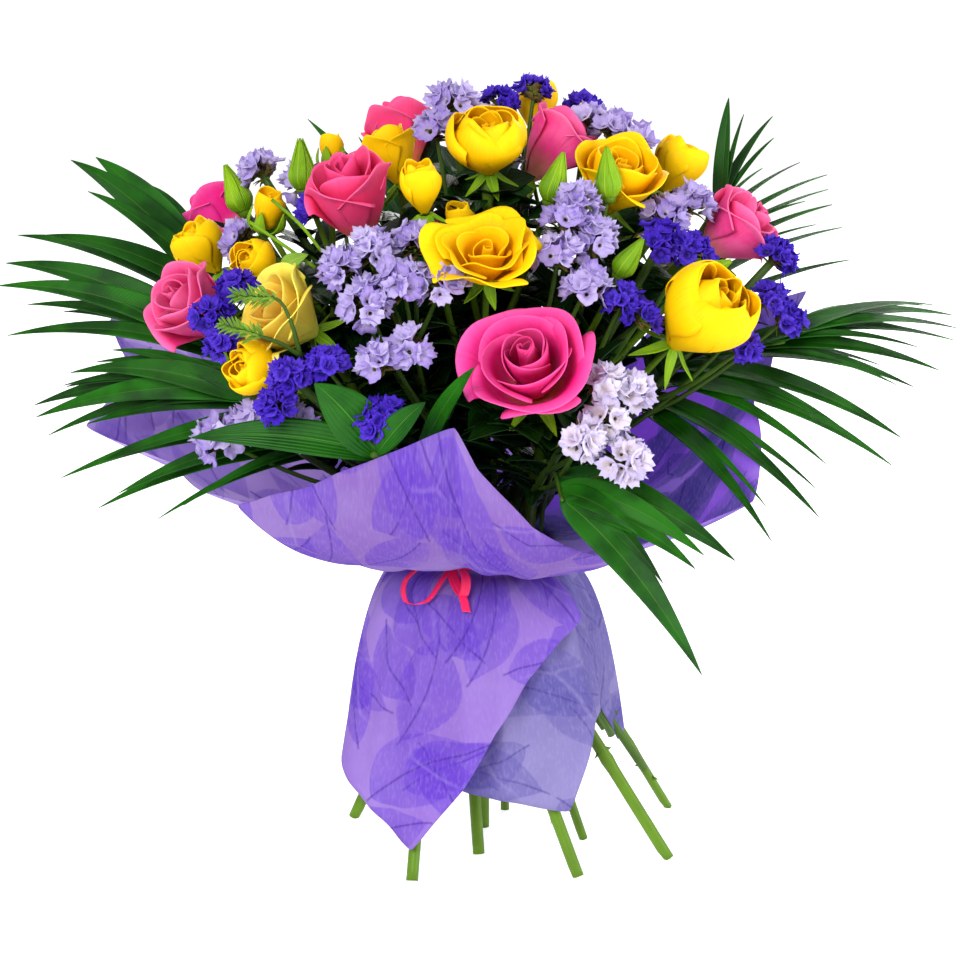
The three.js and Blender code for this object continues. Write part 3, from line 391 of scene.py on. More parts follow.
def seat_stems(stems):
    """Gives each flower stem its seat in the tie: the more upright, the nearer to the middle."""
    waiting = sorted(stems, key=lambda s: math.hypot(*s["target"][:2]) / spread(s["target"][2]))
    for radius, seats in STEM_RINGS:
        group, waiting = waiting[:seats], waiting[seats:]
        for stem in group:
            stem["seat"] = seat_for(stem["target"], radius, stem["radius"])
        if radius:
            space_out([stem["seat"] for stem in group])
        else:
            group[0]["seat"]["lean"] = 0


def stem_run(seat, foot, top):
    """Places along a stem from its foot, through its seat, to a height above the tie."""
    heights = [foot, (foot + NECK_HEIGHT) / 2, NECK_HEIGHT - SEAT_REACH,
               NECK_HEIGHT + SEAT_REACH, top]
    return [strand(seat, height) for height in heights]


NECK = np.array([0, 0, NECK_HEIGHT], float)


def outward(point):
    return unit(np.asarray(point[:3], float) - NECK)


def bloom_base(bloom):
    """The top of the stem that carries a bloom."""
    place, facing, _, height = bloom
    return np.array(place, float) - direction_of(*facing) * (height / 2 + BLOOM_GAP)


# ---- making and joining pieces ----------------------------------------------------------------

SEAM_GAP = 0.00002
FIRST_SIDE = (0.3, 0.9, 0.1)


def pick_only(*pieces):
    bpy.ops.object.select_all(action="DESELECT")
    for piece in pieces:
        piece.select_set(True)
    bpy.context.view_layer.objects.active = pieces[0]


def corners_of(piece):
    flat = np.empty(3 * len(piece.data.vertices), np.float32)
    piece.data.vertices.foreach_get("co", flat)
    return flat.reshape(-1, 3).astype(float)


def move_corners(piece, places):
    piece.data.vertices.foreach_set("co", np.asarray(places, np.float32).ravel())
    piece.data.update()


def flat_grid(across, along):
    """A flat grid, and each corner's share across and along it."""
    bpy.ops.mesh.primitive_grid_add(x_subdivisions=across, y_subdivisions=along, size=1)
    grid = bpy.context.object
    places = corners_of(grid)
    return grid, places[:, 0] + 0.5, places[:, 1] + 0.5


def copy_of(master, places, tone=0.5):
    """A copy of a master with its own mesh, its corners at new places in millimetres."""
    piece = master.copy()
    piece.data = master.data.copy()
    bpy.context.collection.objects.link(piece)
    move_corners(piece, np.asarray(places) * MM)
    shade = piece.data.attributes.new("tone", "FLOAT", "POINT")
    shade.data.foreach_set("value", np.broadcast_to(tone, len(piece.data.vertices)).copy())
    return piece


def remove(*pieces):
    for piece in pieces:
        bpy.data.objects.remove(piece)


def join(parts, name):
    pick_only(*parts)
    if len(parts) > 1:
        bpy.ops.object.join()
    whole = bpy.context.object
    whole.name = whole.data.name = name
    return whole


def add_modifier(piece, kind, **settings):
    pick_only(piece)
    modifier = piece.modifiers.new(kind.lower(), kind)
    for setting, value in settings.items():
        setattr(modifier, setting, value)
    bpy.ops.object.modifier_apply(modifier=modifier.name)


def make_piece(parts, name, finish_used, slot, node, thickness=0.0, levels=0):
    """Joins parts into one piece in place of a node, and gives thin ones their thickness."""
    whole = join(parts, name)
    if levels:
        add_modifier(whole, "SUBSURF", levels=levels, render_levels=levels)
    if thickness:
        add_modifier(whole, "SOLIDIFY", thickness=thickness * MM, offset=0)
    pick_only(whole)
    bpy.ops.object.shade_smooth()
    whole.data.materials.clear()
    whole.data.materials.append(finish_used)
    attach(whole, "root")
    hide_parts(node)
    return whole


def close_tube(piece):
    """Merges the seam of a grid that was rolled up, and fills its two ends."""
    pick_only(piece)
    bpy.ops.object.mode_set(mode="EDIT")
    bpy.ops.mesh.select_all(action="SELECT")
    bpy.ops.mesh.remove_doubles(threshold=SEAM_GAP)
    bpy.ops.mesh.fill_holes(sides=0)
    bpy.ops.mesh.select_all(action="SELECT")
    bpy.ops.mesh.normals_make_consistent(inside=False)
    bpy.ops.object.mode_set(mode="OBJECT")


def tube(path, radius_at, sides, steps, tone_at=lambda share: 0.5):
    """A closed round stem along a path, its radius and tone given at shares of its length."""
    grid, around, along = flat_grid(sides, steps)
    shares = np.arange(steps + 1) / steps
    centres = path.at(shares)
    tangents = np.gradient(centres, axis=0)
    tangents /= np.linalg.norm(tangents, axis=1, keepdims=True)
    normal = np.cross(tangents[0], FIRST_SIDE)
    frames = []
    for tangent in tangents:
        normal = unit(normal - tangent * normal.dot(tangent))
        frames.append((normal, np.cross(tangent, normal)))
    row = np.rint(along * steps).astype(int)
    angle = 2 * np.pi * around
    aside = np.array([f[0] for f in frames])[row] * np.cos(angle)[:, None]
    aside += np.array([f[1] for f in frames])[row] * np.sin(angle)[:, None]
    radius = np.array([radius_at(s) for s in shares])[row]
    places = centres[row] + aside * radius[:, None]
    places[:, 2] = np.maximum(places[:, 2], 0)
    piece = copy_of(grid, places, np.array([tone_at(s) for s in shares])[row])
    remove(grid)
    close_tube(piece)
    return piece


def painted_shade_inside(share):
    """The tone of a stem: fresh below the tie, and darker above it as painted shade among the
    leaves.
    """
    return lerp(0.1, 1.8, float(smooth_step(0.36, 0.56, share)))


# ---- finishes ---------------------------------------------------------------------------------


def shade(red, green, blue):
    """A colour from its screen values, 0 to 255, in the linear values that shaders use."""
    return tuple((c / 255) ** 2.2 for c in (red, green, blue)) + (1,)


class Recipe:
    """Makes the nodes of one material or one node group."""

    def __init__(self, tree):
        self.tree = tree

    def node(self, kind, **inputs):
        made = self.tree.nodes.new(kind)
        for name, value in inputs.items():
            self.feed(made.inputs[name.replace("_", " ")], value)
        return made

    def feed(self, socket, value):
        if isinstance(value, bpy.types.NodeSocket):
            self.tree.links.new(value, socket)
        else:
            socket.default_value = value

    def math(self, operation, *values, clamp=False):
        made = self.tree.nodes.new("ShaderNodeMath")
        made.operation = operation
        made.use_clamp = clamp
        for socket, value in zip(made.inputs, values):
            self.feed(socket, value)
        return made.outputs[0]

    def mix(self, share, low, high, blend="MIX"):
        made = self.tree.nodes.new("ShaderNodeMix")
        made.data_type = "RGBA"
        made.blend_type = blend
        self.feed(made.inputs[0], share)
        self.feed(made.inputs[6], low)
        self.feed(made.inputs[7], high)
        return made.outputs[2]

    def vector(self, operation, first, second):
        made = self.tree.nodes.new("ShaderNodeVectorMath")
        made.operation = operation
        self.feed(made.inputs[0], first)
        self.feed(made.inputs[1], second)
        return made.outputs[0]

    def cells(self, place, scale, feature="F1", **inputs):
        """A flat pattern of cells, such as loose leaves or the facets of creased paper."""
        made = self.node("ShaderNodeTexVoronoi", Vector=place, Scale=scale, **inputs)
        made.voronoi_dimensions = "2D"
        made.feature = feature
        return made.outputs

    def ramp(self, value, low, high):
        """Rises smoothly from 0 at low to 1 at high, which may be below low."""
        made = self.tree.nodes.new("ShaderNodeMapRange")
        made.interpolation_type = "SMOOTHSTEP"
        self.feed(made.inputs["Value"], value)
        self.feed(made.inputs["From Min"], low)
        self.feed(made.inputs["From Max"], high)
        return made.outputs[0]

    def noise(self, place, scale, detail=3.0):
        made = self.node("ShaderNodeTexNoise", Vector=place, Scale=scale, Detail=detail)
        return made.outputs["Fac"]

    def stretched(self, place, across, along):
        made = self.node("ShaderNodeMapping", Vector=place, Scale=(across, along, 1.0))
        return made.outputs[0]

    def part(self, share, mask, low, high):
        """Mixes in a share of a colour where a mask says."""
        return self.mix(self.math("MULTIPLY", mask, share), low, high)

    def map_shares(self):
        """The piece's own map, as its two shares and as one place."""
        place = self.tree.nodes.new("ShaderNodeUVMap").outputs[0]
        parts = self.node("ShaderNodeSeparateXYZ", Vector=place)
        return parts.outputs[0], parts.outputs[1], place

    def tone(self):
        made = self.tree.nodes.new("ShaderNodeAttribute")
        made.attribute_name = "tone"
        return made.outputs["Fac"]

    def object_place(self):
        return self.tree.nodes.new("ShaderNodeTexCoord").outputs["Object"]


def new_group(name, colours, numbers):
    """A node group with Color and Height outputs and the named inputs."""
    tree = bpy.data.node_groups.new(name, "ShaderNodeTree")
    for socket in colours:
        tree.interface.new_socket(socket, in_out="INPUT", socket_type="NodeSocketColor")
    for socket in numbers:
        tree.interface.new_socket(socket, in_out="INPUT", socket_type="NodeSocketFloat")
    tree.interface.new_socket("Color", in_out="OUTPUT", socket_type="NodeSocketColor")
    tree.interface.new_socket("Height", in_out="OUTPUT", socket_type="NodeSocketFloat")
    given = tree.nodes.new("NodeGroupInput").outputs
    result = tree.nodes.new("NodeGroupOutput").inputs
    return Recipe(tree), given, result


def petal_group():
    """Petal skin: heart to outer petals by tone, pale claw, lighter rim, fine veins."""
    make, given, result = new_group("petal_skin", ["Heart", "Outer", "Claw", "Rim"], ["Blotches"])
    across, along, _ = make.map_shares()
    place = make.object_place()
    body = make.mix(make.tone(), given["Heart"], given["Outer"])
    pale = make.math("ADD", make.math("MULTIPLY", make.tone(), 0.4), 0.3)
    body = make.part(pale, make.ramp(along, 0.72, 1.0), body, given["Rim"])
    body = make.mix(make.ramp(along, 0.42, 0.02), body, given["Claw"])
    mottled = make.ramp(make.noise(place, 70.0), 0.35, 0.7)
    body = make.part(given["Blotches"], mottled, body, given["Rim"])
    fan = make.node("ShaderNodeCombineXYZ", X=make.math("MULTIPLY", across, 46.0),
                    Y=make.math("MULTIPLY", along, 2.2), Z=make.math("MULTIPLY", make.tone(), 9.0))
    veins = make.noise(fan.outputs[0], 1.0, 2.0)
    darker = make.mix(0.5, body, given["Heart"], "MULTIPLY")
    body = make.part(0.28, make.ramp(veins, 0.5, 0.72), body, darker)
    make.feed(result["Color"], body)
    make.feed(result["Height"], veins)
    return make.tree


def leaf_group():
    """Leaf skin: blade and rib colours, veins that run along the leaf, darker blotches."""
    make, given, result = new_group("leaf_skin", ["Blade", "Shadow", "Rib"], ["Veins", "Rib Width"])
    across, along, _ = make.map_shares()
    place = make.object_place()
    from_rib = make.math("ABSOLUTE", make.math("SUBTRACT", across, 0.5))
    mottled = make.ramp(make.noise(place, 45.0), 0.35, 0.68)
    body = make.part(0.8, mottled, given["Blade"], given["Shadow"])
    # The tone mixes in the shadow colour: at random on leaves, and on stems as painted shade among
    # the leaves.
    body = make.part(0.5, make.tone(), body, given["Shadow"])
    lines = make.math("SINE", make.math("MULTIPLY", from_rib, given["Veins"]))
    body = make.part(0.18, make.ramp(lines, 0.3, 1.0), body, given["Shadow"])
    rib = make.ramp(from_rib, given["Rib Width"], 0.004)
    body = make.part(0.45, rib, body, given["Rib"])
    make.feed(result["Color"], body)
    make.feed(result["Height"], make.math("ADD", make.math("MULTIPLY", lines, 0.35), rib))
    return make.tree


# Layers of the wrap's print: shift and cell size in metres, and a seed that fades it its own way.
PRINT_LAYERS = ((0.0, 0.054, 0.0), (0.031, 0.064, 0.3), (0.057, 0.048, 0.6), (0.012, 0.07, 0.9))
FULL_TURN = 6.283


def motif(make, place, shift, size, seed):
    """A layer of loose leaf shapes: one turned, bent leaf with its midrib in each cell."""
    moved = make.vector("ADD", place, (shift, 1.7 * shift, seed))
    cells = make.cells(moved, 1 / size, Randomness=0.75)
    from_middle = make.vector("SUBTRACT", moved, cells["Position"])
    chance = make.node("ShaderNodeSeparateColor", Color=cells["Color"])
    turned = make.node("ShaderNodeVectorRotate", Vector=from_middle,
                       Angle=make.math("MULTIPLY", chance.outputs[0], FULL_TURN))
    turned.rotation_type = "Z_AXIS"
    parts = make.node("ShaderNodeSeparateXYZ", Vector=turned.outputs[0])
    long = make.math("ADD", make.math("DIVIDE", parts.outputs[1], 0.82 * size), 0.5, clamp=True)
    bulge = make.math("SINE", make.math("MULTIPLY", make.math("POWER", long, 0.8), math.pi))
    half = make.math("MULTIPLY", make.math("POWER", bulge, 0.8), 0.24 * size)
    bent = make.math("MULTIPLY", make.math("MULTIPLY", parts.outputs[1], parts.outputs[1]), 5.0)
    aside = make.math("ABSOLUTE", make.math("SUBTRACT", parts.outputs[0], bent))
    leaf = make.ramp(make.math("SUBTRACT", half, aside), 0.0, 0.0012)
    reach = make.ramp(make.math("ABSOLUTE", parts.outputs[1]), 0.46 * size, 0.44 * size)
    rib = make.math("MULTIPLY", make.ramp(aside, 0.0008, 0.0002), reach)
    return leaf, rib


def paper_group():
    """Non-woven wrap: layers of leaf shapes over fine fibres; above the tie a collar tint, partly
    painted light and shade.
    """
    make, given, result = new_group("leaf_print", ["Paper", "Collar", "Print", "Vein", "Light"],
                                    ["Motif"])
    _, _, place = make.map_shares()
    spot = make.object_place()
    fibres = make.noise(make.stretched(place, 900.0, 260.0), 1.0, 3.0)
    # Painted light: soft lighter clouds where light falls on the crumpled paper.
    painted_cloud_light = make.ramp(make.noise(spot, 14.0), 0.35, 0.7)
    # The tone brings in the collar colour above the tie: partly painted light and shade.
    body = make.mix(make.tone(), given["Paper"], given["Collar"])
    body = make.part(0.5, painted_cloud_light, body, given["Light"])
    for shift, size, seed in PRINT_LAYERS:
        leaf, rib = motif(make, place, shift, size, seed)
        faded = make.ramp(make.noise(place, 22.0 + 9 * seed), 0.22, 0.5)
        ink = make.math("MULTIPLY", leaf, faded)
        body = make.part(given["Motif"], ink, body, given["Print"])
        body = make.part(0.55, rib, body, given["Vein"])
    body = make.part(0.22, make.ramp(fibres, 0.45, 0.7), body, given["Light"])
    wobble = make.math("MULTIPLY", make.noise(place, 16.0, 2.0), 0.03)
    bent = make.vector("ADD", place, wobble)
    facets = make.cells(bent, 24.0)["Distance"]
    edges = make.cells(bent, 24.0, "DISTANCE_TO_EDGE")["Distance"]
    # Painted highlight: the creases between the crumpled facets are drawn lighter; the pale fibres
    # above are the paper's own.
    crease = make.math("MULTIPLY", make.ramp(edges, 0.035, 0.0),
                       make.ramp(make.noise(place, 30.0), 0.42, 0.62))
    body = make.part(0.3, crease, body, given["Light"])
    height = make.math("ADD", facets, make.math("MULTIPLY", fibres, 0.04))
    make.feed(result["Color"], body)
    make.feed(result["Height"], height)
    return make.tree


def calyx_group():
    """Papery calyx: green-brown foot, coloured throat and rim, pleats that run up it with painted
    shade in their folds.
    """
    make, given, result = new_group("calyx_skin", ["Foot", "Throat", "Rim", "White"], ["Pleats"])
    across, along, _ = make.map_shares()
    body = make.mix(make.ramp(along, 0.16, 0.42), given["Foot"], given["White"])
    body = make.mix(make.ramp(along, 0.3, 0.62), body, given["Throat"])
    body = make.mix(make.ramp(along, 0.6, 0.95), body, given["Rim"])
    body = make.part(make.ramp(along, 0.4, 0.9), make.tone(), body, given["White"])
    fold = make.math("SINE", make.math("MULTIPLY", across, given["Pleats"]))
    # Painted shade: the throat colour laid in stripes along the folds of the pleats.
    body = make.part(0.3, make.ramp(fold, 0.2, 1.0), body, given["Throat"])
    grain = make.noise(make.object_place(), 500.0)
    body = make.part(0.2, make.ramp(grain, 0.5, 0.8), body, given["White"])
    make.feed(result["Color"], body)
    make.feed(result["Height"], fold)
    return make.tree


def finish(name, group, inputs, rough, through_share=0.0, bump=0.2, bump_depth=0.0004,
           specular=0.5):
    """A material whose colour and bump come from a group, partly lit from behind if it is thin."""
    material = bpy.data.materials.new(name)
    material.use_nodes = True
    make = Recipe(material.node_tree)
    shader = material.node_tree.nodes["Principled BSDF"]
    output = material.node_tree.nodes["Material Output"]
    source = material.node_tree.nodes.new("ShaderNodeGroup")
    source.node_tree = group
    for socket, value in inputs.items():
        source.inputs[socket].default_value = value
    make.feed(shader.inputs["Base Color"], source.outputs["Color"])
    shader.inputs["Roughness"].default_value = rough
    shader.inputs["Specular IOR Level"].default_value = specular
    relief = make.node("ShaderNodeBump", Height=source.outputs["Height"], Strength=bump,
                       Distance=bump_depth)
    make.feed(shader.inputs["Normal"], relief.outputs[0])
    if through_share:
        glow = make.node("ShaderNodeBsdfTranslucent", Color=source.outputs["Color"])
        blend = make.node("ShaderNodeMixShader", Fac=through_share)
        make.feed(blend.inputs[1], shader.outputs[0])
        make.feed(blend.inputs[2], glow.outputs[0])
        make.feed(output.inputs["Surface"], blend.outputs[0])
    return material


PETAL = petal_group()
LEAF = leaf_group()
PAPER = paper_group()
CALYX = calyx_group()


def paints(sockets, colours):
    return {socket: shade(*colour) for socket, colour in zip(sockets.split(), colours)}


def petal_finish(name, *colours, blotches=0.25):
    inputs = paints("Heart Outer Claw Rim", colours) | {"Blotches": blotches}
    return finish(name, PETAL, inputs, 0.6, through_share=0.18, bump=0.25, specular=0.12)


CALYX_PLEATS = 62.8


def calyx_finish(name, *colours, rough=0.75, through_share=0.25):
    inputs = paints("Foot Throat Rim White", colours) | {"Pleats": CALYX_PLEATS}
    return finish(name, CALYX, inputs, rough, through_share=through_share, specular=0.2)


def leaf_inputs(veins, rib_width, *colours):
    return paints("Blade Shadow Rib", colours) | {"Veins": veins, "Rib Width": rib_width}


def leaf_finish(name, veins, rib_width, *colours, rough=0.42, through_share=0.12):
    return finish(name, LEAF, leaf_inputs(veins, rib_width, *colours), rough,
                  through_share=through_share, bump=0.5, bump_depth=0.0006, specular=0.2)


def wrap_finish(name, *colours, motif_share=0.5):
    inputs = paints("Paper Collar Print Vein Light", colours) | {"Motif": motif_share}
    return finish(name, PAPER, inputs, 0.8, through_share=0.5, bump=0.6, bump_depth=0.006,
                  specular=0.2)


HOT_PINK = petal_finish("hot_pink_petals", (206, 10, 92), (240, 44, 146), (250, 170, 120),
                        (252, 104, 180))
CORAL_PINK = petal_finish("coral_pink_petals", (222, 10, 96), (250, 72, 128), (255, 140, 70),
                          (252, 108, 166))
SOFT_PINK = petal_finish("soft_pink_petals", (214, 14, 96), (240, 66, 142), (250, 170, 140),
                         (254, 128, 184), blotches=0.4)
YELLOW = petal_finish("yellow_petals", (244, 172, 0), (252, 204, 4), (238, 186, 8),
                      (254, 218, 20))
PALE_YELLOW = petal_finish("pale_yellow_petals", (248, 160, 4), (240, 228, 84), (214, 216, 80),
                           (250, 236, 110))
LILAC = calyx_finish("lilac_calyces", (128, 104, 76), (178, 158, 214), (146, 122, 202),
                     (224, 214, 246))
WHITE_LILAC = calyx_finish("white_calyces", (160, 146, 60), (206, 190, 196), (188, 176, 226),
                           (240, 234, 248))
VIOLET = calyx_finish("violet_calyces", (50, 60, 40), (28, 8, 118), (62, 26, 180),
                      (100, 70, 214), rough=0.7, through_share=0.2)
PALM = leaf_finish("palm_leaf", 150.0, 0.02, (38, 112, 16), (10, 50, 8), (96, 150, 40))
RUSCUS = leaf_finish("ruscus_leaf", 60.0, 0.02, (44, 116, 22), (12, 62, 10), (96, 160, 50))
# Rose leaves: their own dark green, made darker still and near black in shadow as painted shade for
# the inside of the bouquet.
ROSE_LEAF = leaf_finish("rose_leaf", 46.0, 0.02, (26, 70, 14), (6, 26, 6), (60, 104, 30))
SEPAL = leaf_finish("sepal_green", 60.0, 0.06, (140, 184, 26), (86, 132, 16), (184, 208, 70),
                    rough=0.5)
BRACT = leaf_finish("statice_bract", 60.0, 0.05, (118, 100, 50), (62, 56, 24), (150, 130, 80),
                    rough=0.7)
COMB = leaf_finish("young_comb", 60.0, 0.05, (150, 190, 70), (88, 130, 40), (190, 214, 110),
                   rough=0.6)
# Stems: near-black shadow colours, mixed in by tone as painted shade where the stems run among the
# leaves.
STEM = leaf_finish("stem_green", 12.0, 0.001, (72, 112, 18), (14, 32, 7), (104, 138, 34),
                   rough=0.45, through_share=0.0)
DARK_STEM = leaf_finish("statice_stem_green", 12.0, 0.001, (58, 90, 28), (12, 28, 8),
                        (80, 110, 40), rough=0.5, through_share=0.0)
# The collar colour, against the skirt's: darker as painted shade on the violet wrap, lighter as
# painted light on its copy, and on the blue wrap lighter as painted light and more violet as its
# own tint.
WRAP = wrap_finish("violet_wrap", (162, 126, 210), (150, 112, 196), (112, 68, 206),
                   (80, 46, 166), (186, 162, 222))
# The third sheet's copy of the violet wrap, lighter throughout as painted light.
PAINTED_LIGHT_WRAP = wrap_finish("violet_wrap_painted_light", (182, 152, 222), (206, 182, 236), (150, 116, 214),
                        (108, 76, 180), (214, 196, 238), motif_share=0.4)
BLUE_WRAP = wrap_finish("blue_violet_wrap", (140, 132, 188), (174, 124, 230), (108, 100, 176),
                        (84, 74, 154), (180, 170, 216))
RIBBON = finish("red_ribbon_satin", LEAF,
                leaf_inputs(300.0, 0.001, (228, 8, 72), (190, 4, 50), (240, 40, 100)),
                0.4, bump=0.3, specular=0.35)
TWINE = finish("natural_twine_fibre", LEAF,
               leaf_inputs(40.0, 0.001, (190, 158, 108), (140, 108, 66), (206, 178, 130)),
               0.9, bump=0.6)

# ---- petals and roses -------------------------------------------------------------------------

petal_master, petal_u, petal_v = flat_grid(10, 10)


def petal_places(bloom, petal, azimuth, rng):
    """Where a petal's corners lie round its bloom. Lengths are shares of radius or height."""
    place, facing, radius, height = bloom
    reach, rim, wrap, lean, roll, tip, wave = petal
    phase, skew = rng.uniform(0, 6), rng.uniform(-0.16, 0.16)
    u, v = 2 * petal_u - 1, petal_v
    side = np.abs(u + skew * (1 - u * u))
    broad = 0.4 + 0.6 * np.sin(np.pi / 2 * np.clip(v / 0.6, 0, 1))
    angle = azimuth + wrap * u * broad
    up = rim * v ** 0.85 * (1 - 0.24 * side ** 2.2 * v ** 2)
    up = up + tip * np.exp(-((side / 0.24) ** 2)) * smooth_step(0.7, 1, v)
    out = 0.1 + (reach - 0.1) * (1 - (1 - v) ** 2.4) + lean * v ** 3 + 0.07 * u * v
    free = np.maximum(smooth_step(0.6, 1, v), smooth_step(0.62, 1.1, side) * v)
    out = out + roll * free ** 2
    up = up - 0.8 * roll * free ** 3
    out = out + wave * np.sin(5.5 * u + phase) * v ** 3
    up = up + 0.6 * wave * np.sin(4.1 * u + 2.3 * phase) * v ** 3
    local = np.stack([radius * out * np.cos(angle), radius * out * np.sin(angle),
                      height * (up - 0.47)], -1)
    return np.array(place) + local @ turn_onto(direction_of(*facing)).T


# Layers of petals from the heart outwards, by the way a rose has opened: how many petals, and
# their reach, rim, wrap, lean, roll, tip and wave.
PETAL_LAYERS = {
    "spiral": [(5, (0.15, 1.0, 150, -0.04, 0.0, 0.0, 0.01)),
               (4, (0.34, 0.98, 96, -0.04, 0.03, 0.02, 0.02)),
               (4, (0.55, 0.93, 78, 0.0, 0.1, 0.05, 0.03)),
               (4, (0.76, 0.82, 70, 0.06, 0.14, 0.08, 0.05))],
    "vase": [(4, (0.16, 1.0, 150, -0.04, 0.0, 0.0, 0.02)),
             (3, (0.42, 1.0, 96, -0.08, 0.03, 0.02, 0.03)),
             (3, (0.68, 0.98, 84, -0.04, 0.08, 0.05, 0.04)),
             (4, (0.88, 0.93, 72, 0.02, 0.14, 0.09, 0.06))],
    "globe": [(3, (0.18, 0.9, 130, -0.05, 0.0, 0.0, 0.02)),
              (3, (0.5, 0.97, 96, -0.22, 0.01, 0.0, 0.04)),
              (4, (0.86, 1.02, 84, -0.42, 0.02, 0.02, 0.06)),
              (4, (1.1, 1.0, 78, -0.46, 0.04, 0.05, 0.08))],
    "cup": [(3, (0.2, 0.86, 130, -0.05, 0.0, 0.0, 0.02)),
            (3, (0.46, 0.94, 90, -0.1, 0.02, 0.0, 0.05)),
            (4, (0.72, 0.98, 76, -0.08, 0.05, 0.05, 0.07)),
            (4, (0.92, 0.92, 64, 0.02, 0.12, 0.1, 0.09))],
    "wide": [(3, (0.2, 0.8, 130, -0.05, 0.0, 0.0, 0.03)),
             (3, (0.42, 0.92, 88, 0.0, 0.05, 0.03, 0.07)),
             (4, (0.64, 0.96, 70, 0.12, 0.1, 0.12, 0.11)),
             (4, (0.8, 0.84, 56, 0.26, 0.14, 0.24, 0.12))],
}


def rose_petals(bloom, seed, style):
    """All petals of a bloom, each a little different, in layers turned against each other."""
    rng = np.random.default_rng(seed)
    parts = []
    start = rng.uniform(0, 6)
    for layer, (count, petal) in enumerate(PETAL_LAYERS[style]):
        reach, rim, wrap, lean, roll, tip, wave = petal
        for number in range(count):
            step = number / count - 0.5
            grown = reach + step * (0.17 if layer == 0 else 0.08)
            loose = rng.uniform(0.6, 1.3)
            shape = (grown, rim * rng.uniform(0.95, 1.02), math.radians(wrap * (1 - 0.2 * step)),
                     lean * loose, roll * loose, tip * rng.uniform(0.2, 1.3), wave * loose)
            azimuth = start + 2 * math.pi * (number + 0.5 * layer) / count + rng.uniform(-0.2, 0.2)
            places = petal_places(bloom, shape, azimuth, rng)
            parts.append(copy_of(petal_master, places, layer / 3 * rng.uniform(0.75, 1.0)))
    return parts


sepal_master, sepal_u, sepal_v = flat_grid(4, 8)


def sepal_parts(bloom, width):
    """Sepals folded back round the top of a stem."""
    _, facing, _, height = bloom
    axis = direction_of(*facing)
    turn = turn_onto(axis)
    base = bloom_base(bloom)
    length = 0.5 * height
    parts = []
    for number in range(SEPALS):
        angle = 2 * math.pi * number / SEPALS
        out = turn @ np.array([math.cos(angle), math.sin(angle), 0])
        side = np.cross(axis, out)
        line = Path([base + out * (2 + share * length * 0.8) + axis * (drop * length * 0.4 - 2.4)
                     for share, drop in ((0, 0.6), (0.45, -0.1), (1, -0.62))], 12)
        u, v = 2 * sepal_u - 1, sepal_v
        half = width * np.sin(np.pi * np.clip(v, 0.02, 1) ** 0.5) ** 0.8 + 0.25 * (1 - v) + 0.1
        places = line.at(v) + side * (u * half)[:, None] + axis * (0.5 * np.abs(u) * half)[:, None]
        parts.append(copy_of(sepal_master, places, 0.3))
    return parts


# ---- stems, thorns and leaves -----------------------------------------------------------------

THORN_SIZE = (1.5, 0.8, 1.7)
BLADE_FOLD, LEAFLET_FOLD, LEAFLET_TEETH, BLUNTNESS = 0.25, 0.3, 0.08, 0.62

bpy.ops.mesh.primitive_cone_add(vertices=6, radius1=1, depth=2, location=(0, 0, 1))
bpy.ops.object.transform_apply(location=True)
thorn_master = bpy.context.object
thorn_corners = corners_of(thorn_master)
leaf_master, leaf_u, leaf_v = flat_grid(6, 14)


def blade_width(width, along, blunt):
    """Half the width of a blade along it, pointed at both ends."""
    return width / 2 * np.sin(np.pi * np.clip(along, 0.004, 0.996) ** blunt) ** 0.85


def arched_leaf(across, along, base, tip, face, width, lift, blunt=BLUNTNESS, twist=0.0):
    """A blade from its base to its tip, arched upwards, folded and twisted along its rib."""
    run = np.asarray(tip, float) - base
    length = np.linalg.norm(run)
    side = unit(np.cross(run, face))
    normal = np.cross(side, run / length)
    u, v = 2 * across - 1, along
    half = blade_width(width, v, blunt)
    turned = (twist * (v - 0.3))[:, None]
    over = side * np.cos(turned) + normal * np.sin(turned)
    rise = lift * length * 4 * v * (1 - v)
    return (np.asarray(base) + run * v[:, None] + np.array([0, 0, 1]) * rise[:, None]
            + over * (u * half)[:, None] + normal * (BLADE_FOLD * np.abs(u) * half)[:, None])


# Heights of the leaves on a stem, as shares of the way from the tie to its top.
# Many levels, so that dark leaves also fill the inside of the bouquet as painted shade.
LEAF_LEVELS = (0.2, 0.32, 0.42, 0.5, 0.57, 0.64, 0.7, 0.76, 0.82, 0.88, 0.93, 0.98)
# Leaflets of a rose leaf: share along its stalk, and side.
LEAFLETS = ((0.5, 1), (0.5, -1), (0.85, 1), (0.85, -1), (1.0, 0))
leaflet_master, leaflet_u, leaflet_v = flat_grid(4, 10)


def thorns(path, radius, count, rng):
    parts = []
    for _ in range(count):
        share = rng.uniform(0.06, 0.8)
        along = path.along(share)
        aside = np.cross(along, direction_of(rng.uniform(0, 360), 90))
        out = unit(unit(aside) - 0.35 * along)
        at = path.at(share) + unit(aside) * (radius - 0.5)
        places = at + thorn_corners * THORN_SIZE @ turn_onto(out).T
        parts.append(copy_of(thorn_master, places, 0.2))
    return parts


def leaflet_places(base, towards, face, length, width, sag):
    """A toothed leaflet from its base, broadest below the middle, folded along its rib."""
    towards = unit(towards)
    side = unit(np.cross(towards, face))
    face = np.cross(side, towards)
    u, v = 2 * leaflet_u - 1, leaflet_v
    half = blade_width(width, v, BLUNTNESS)
    half = half * (1 + LEAFLET_TEETH * (np.rint(v * 10) % 2) * (np.abs(u) > 0.9))
    droop = sag * length * v ** 2
    return (np.asarray(base) + towards * (length * v)[:, None] + side * (u * half)[:, None]
            + face * (LEAFLET_FOLD * np.abs(u) * half)[:, None]
            + np.array([0, 0, -1]) * droop[:, None])


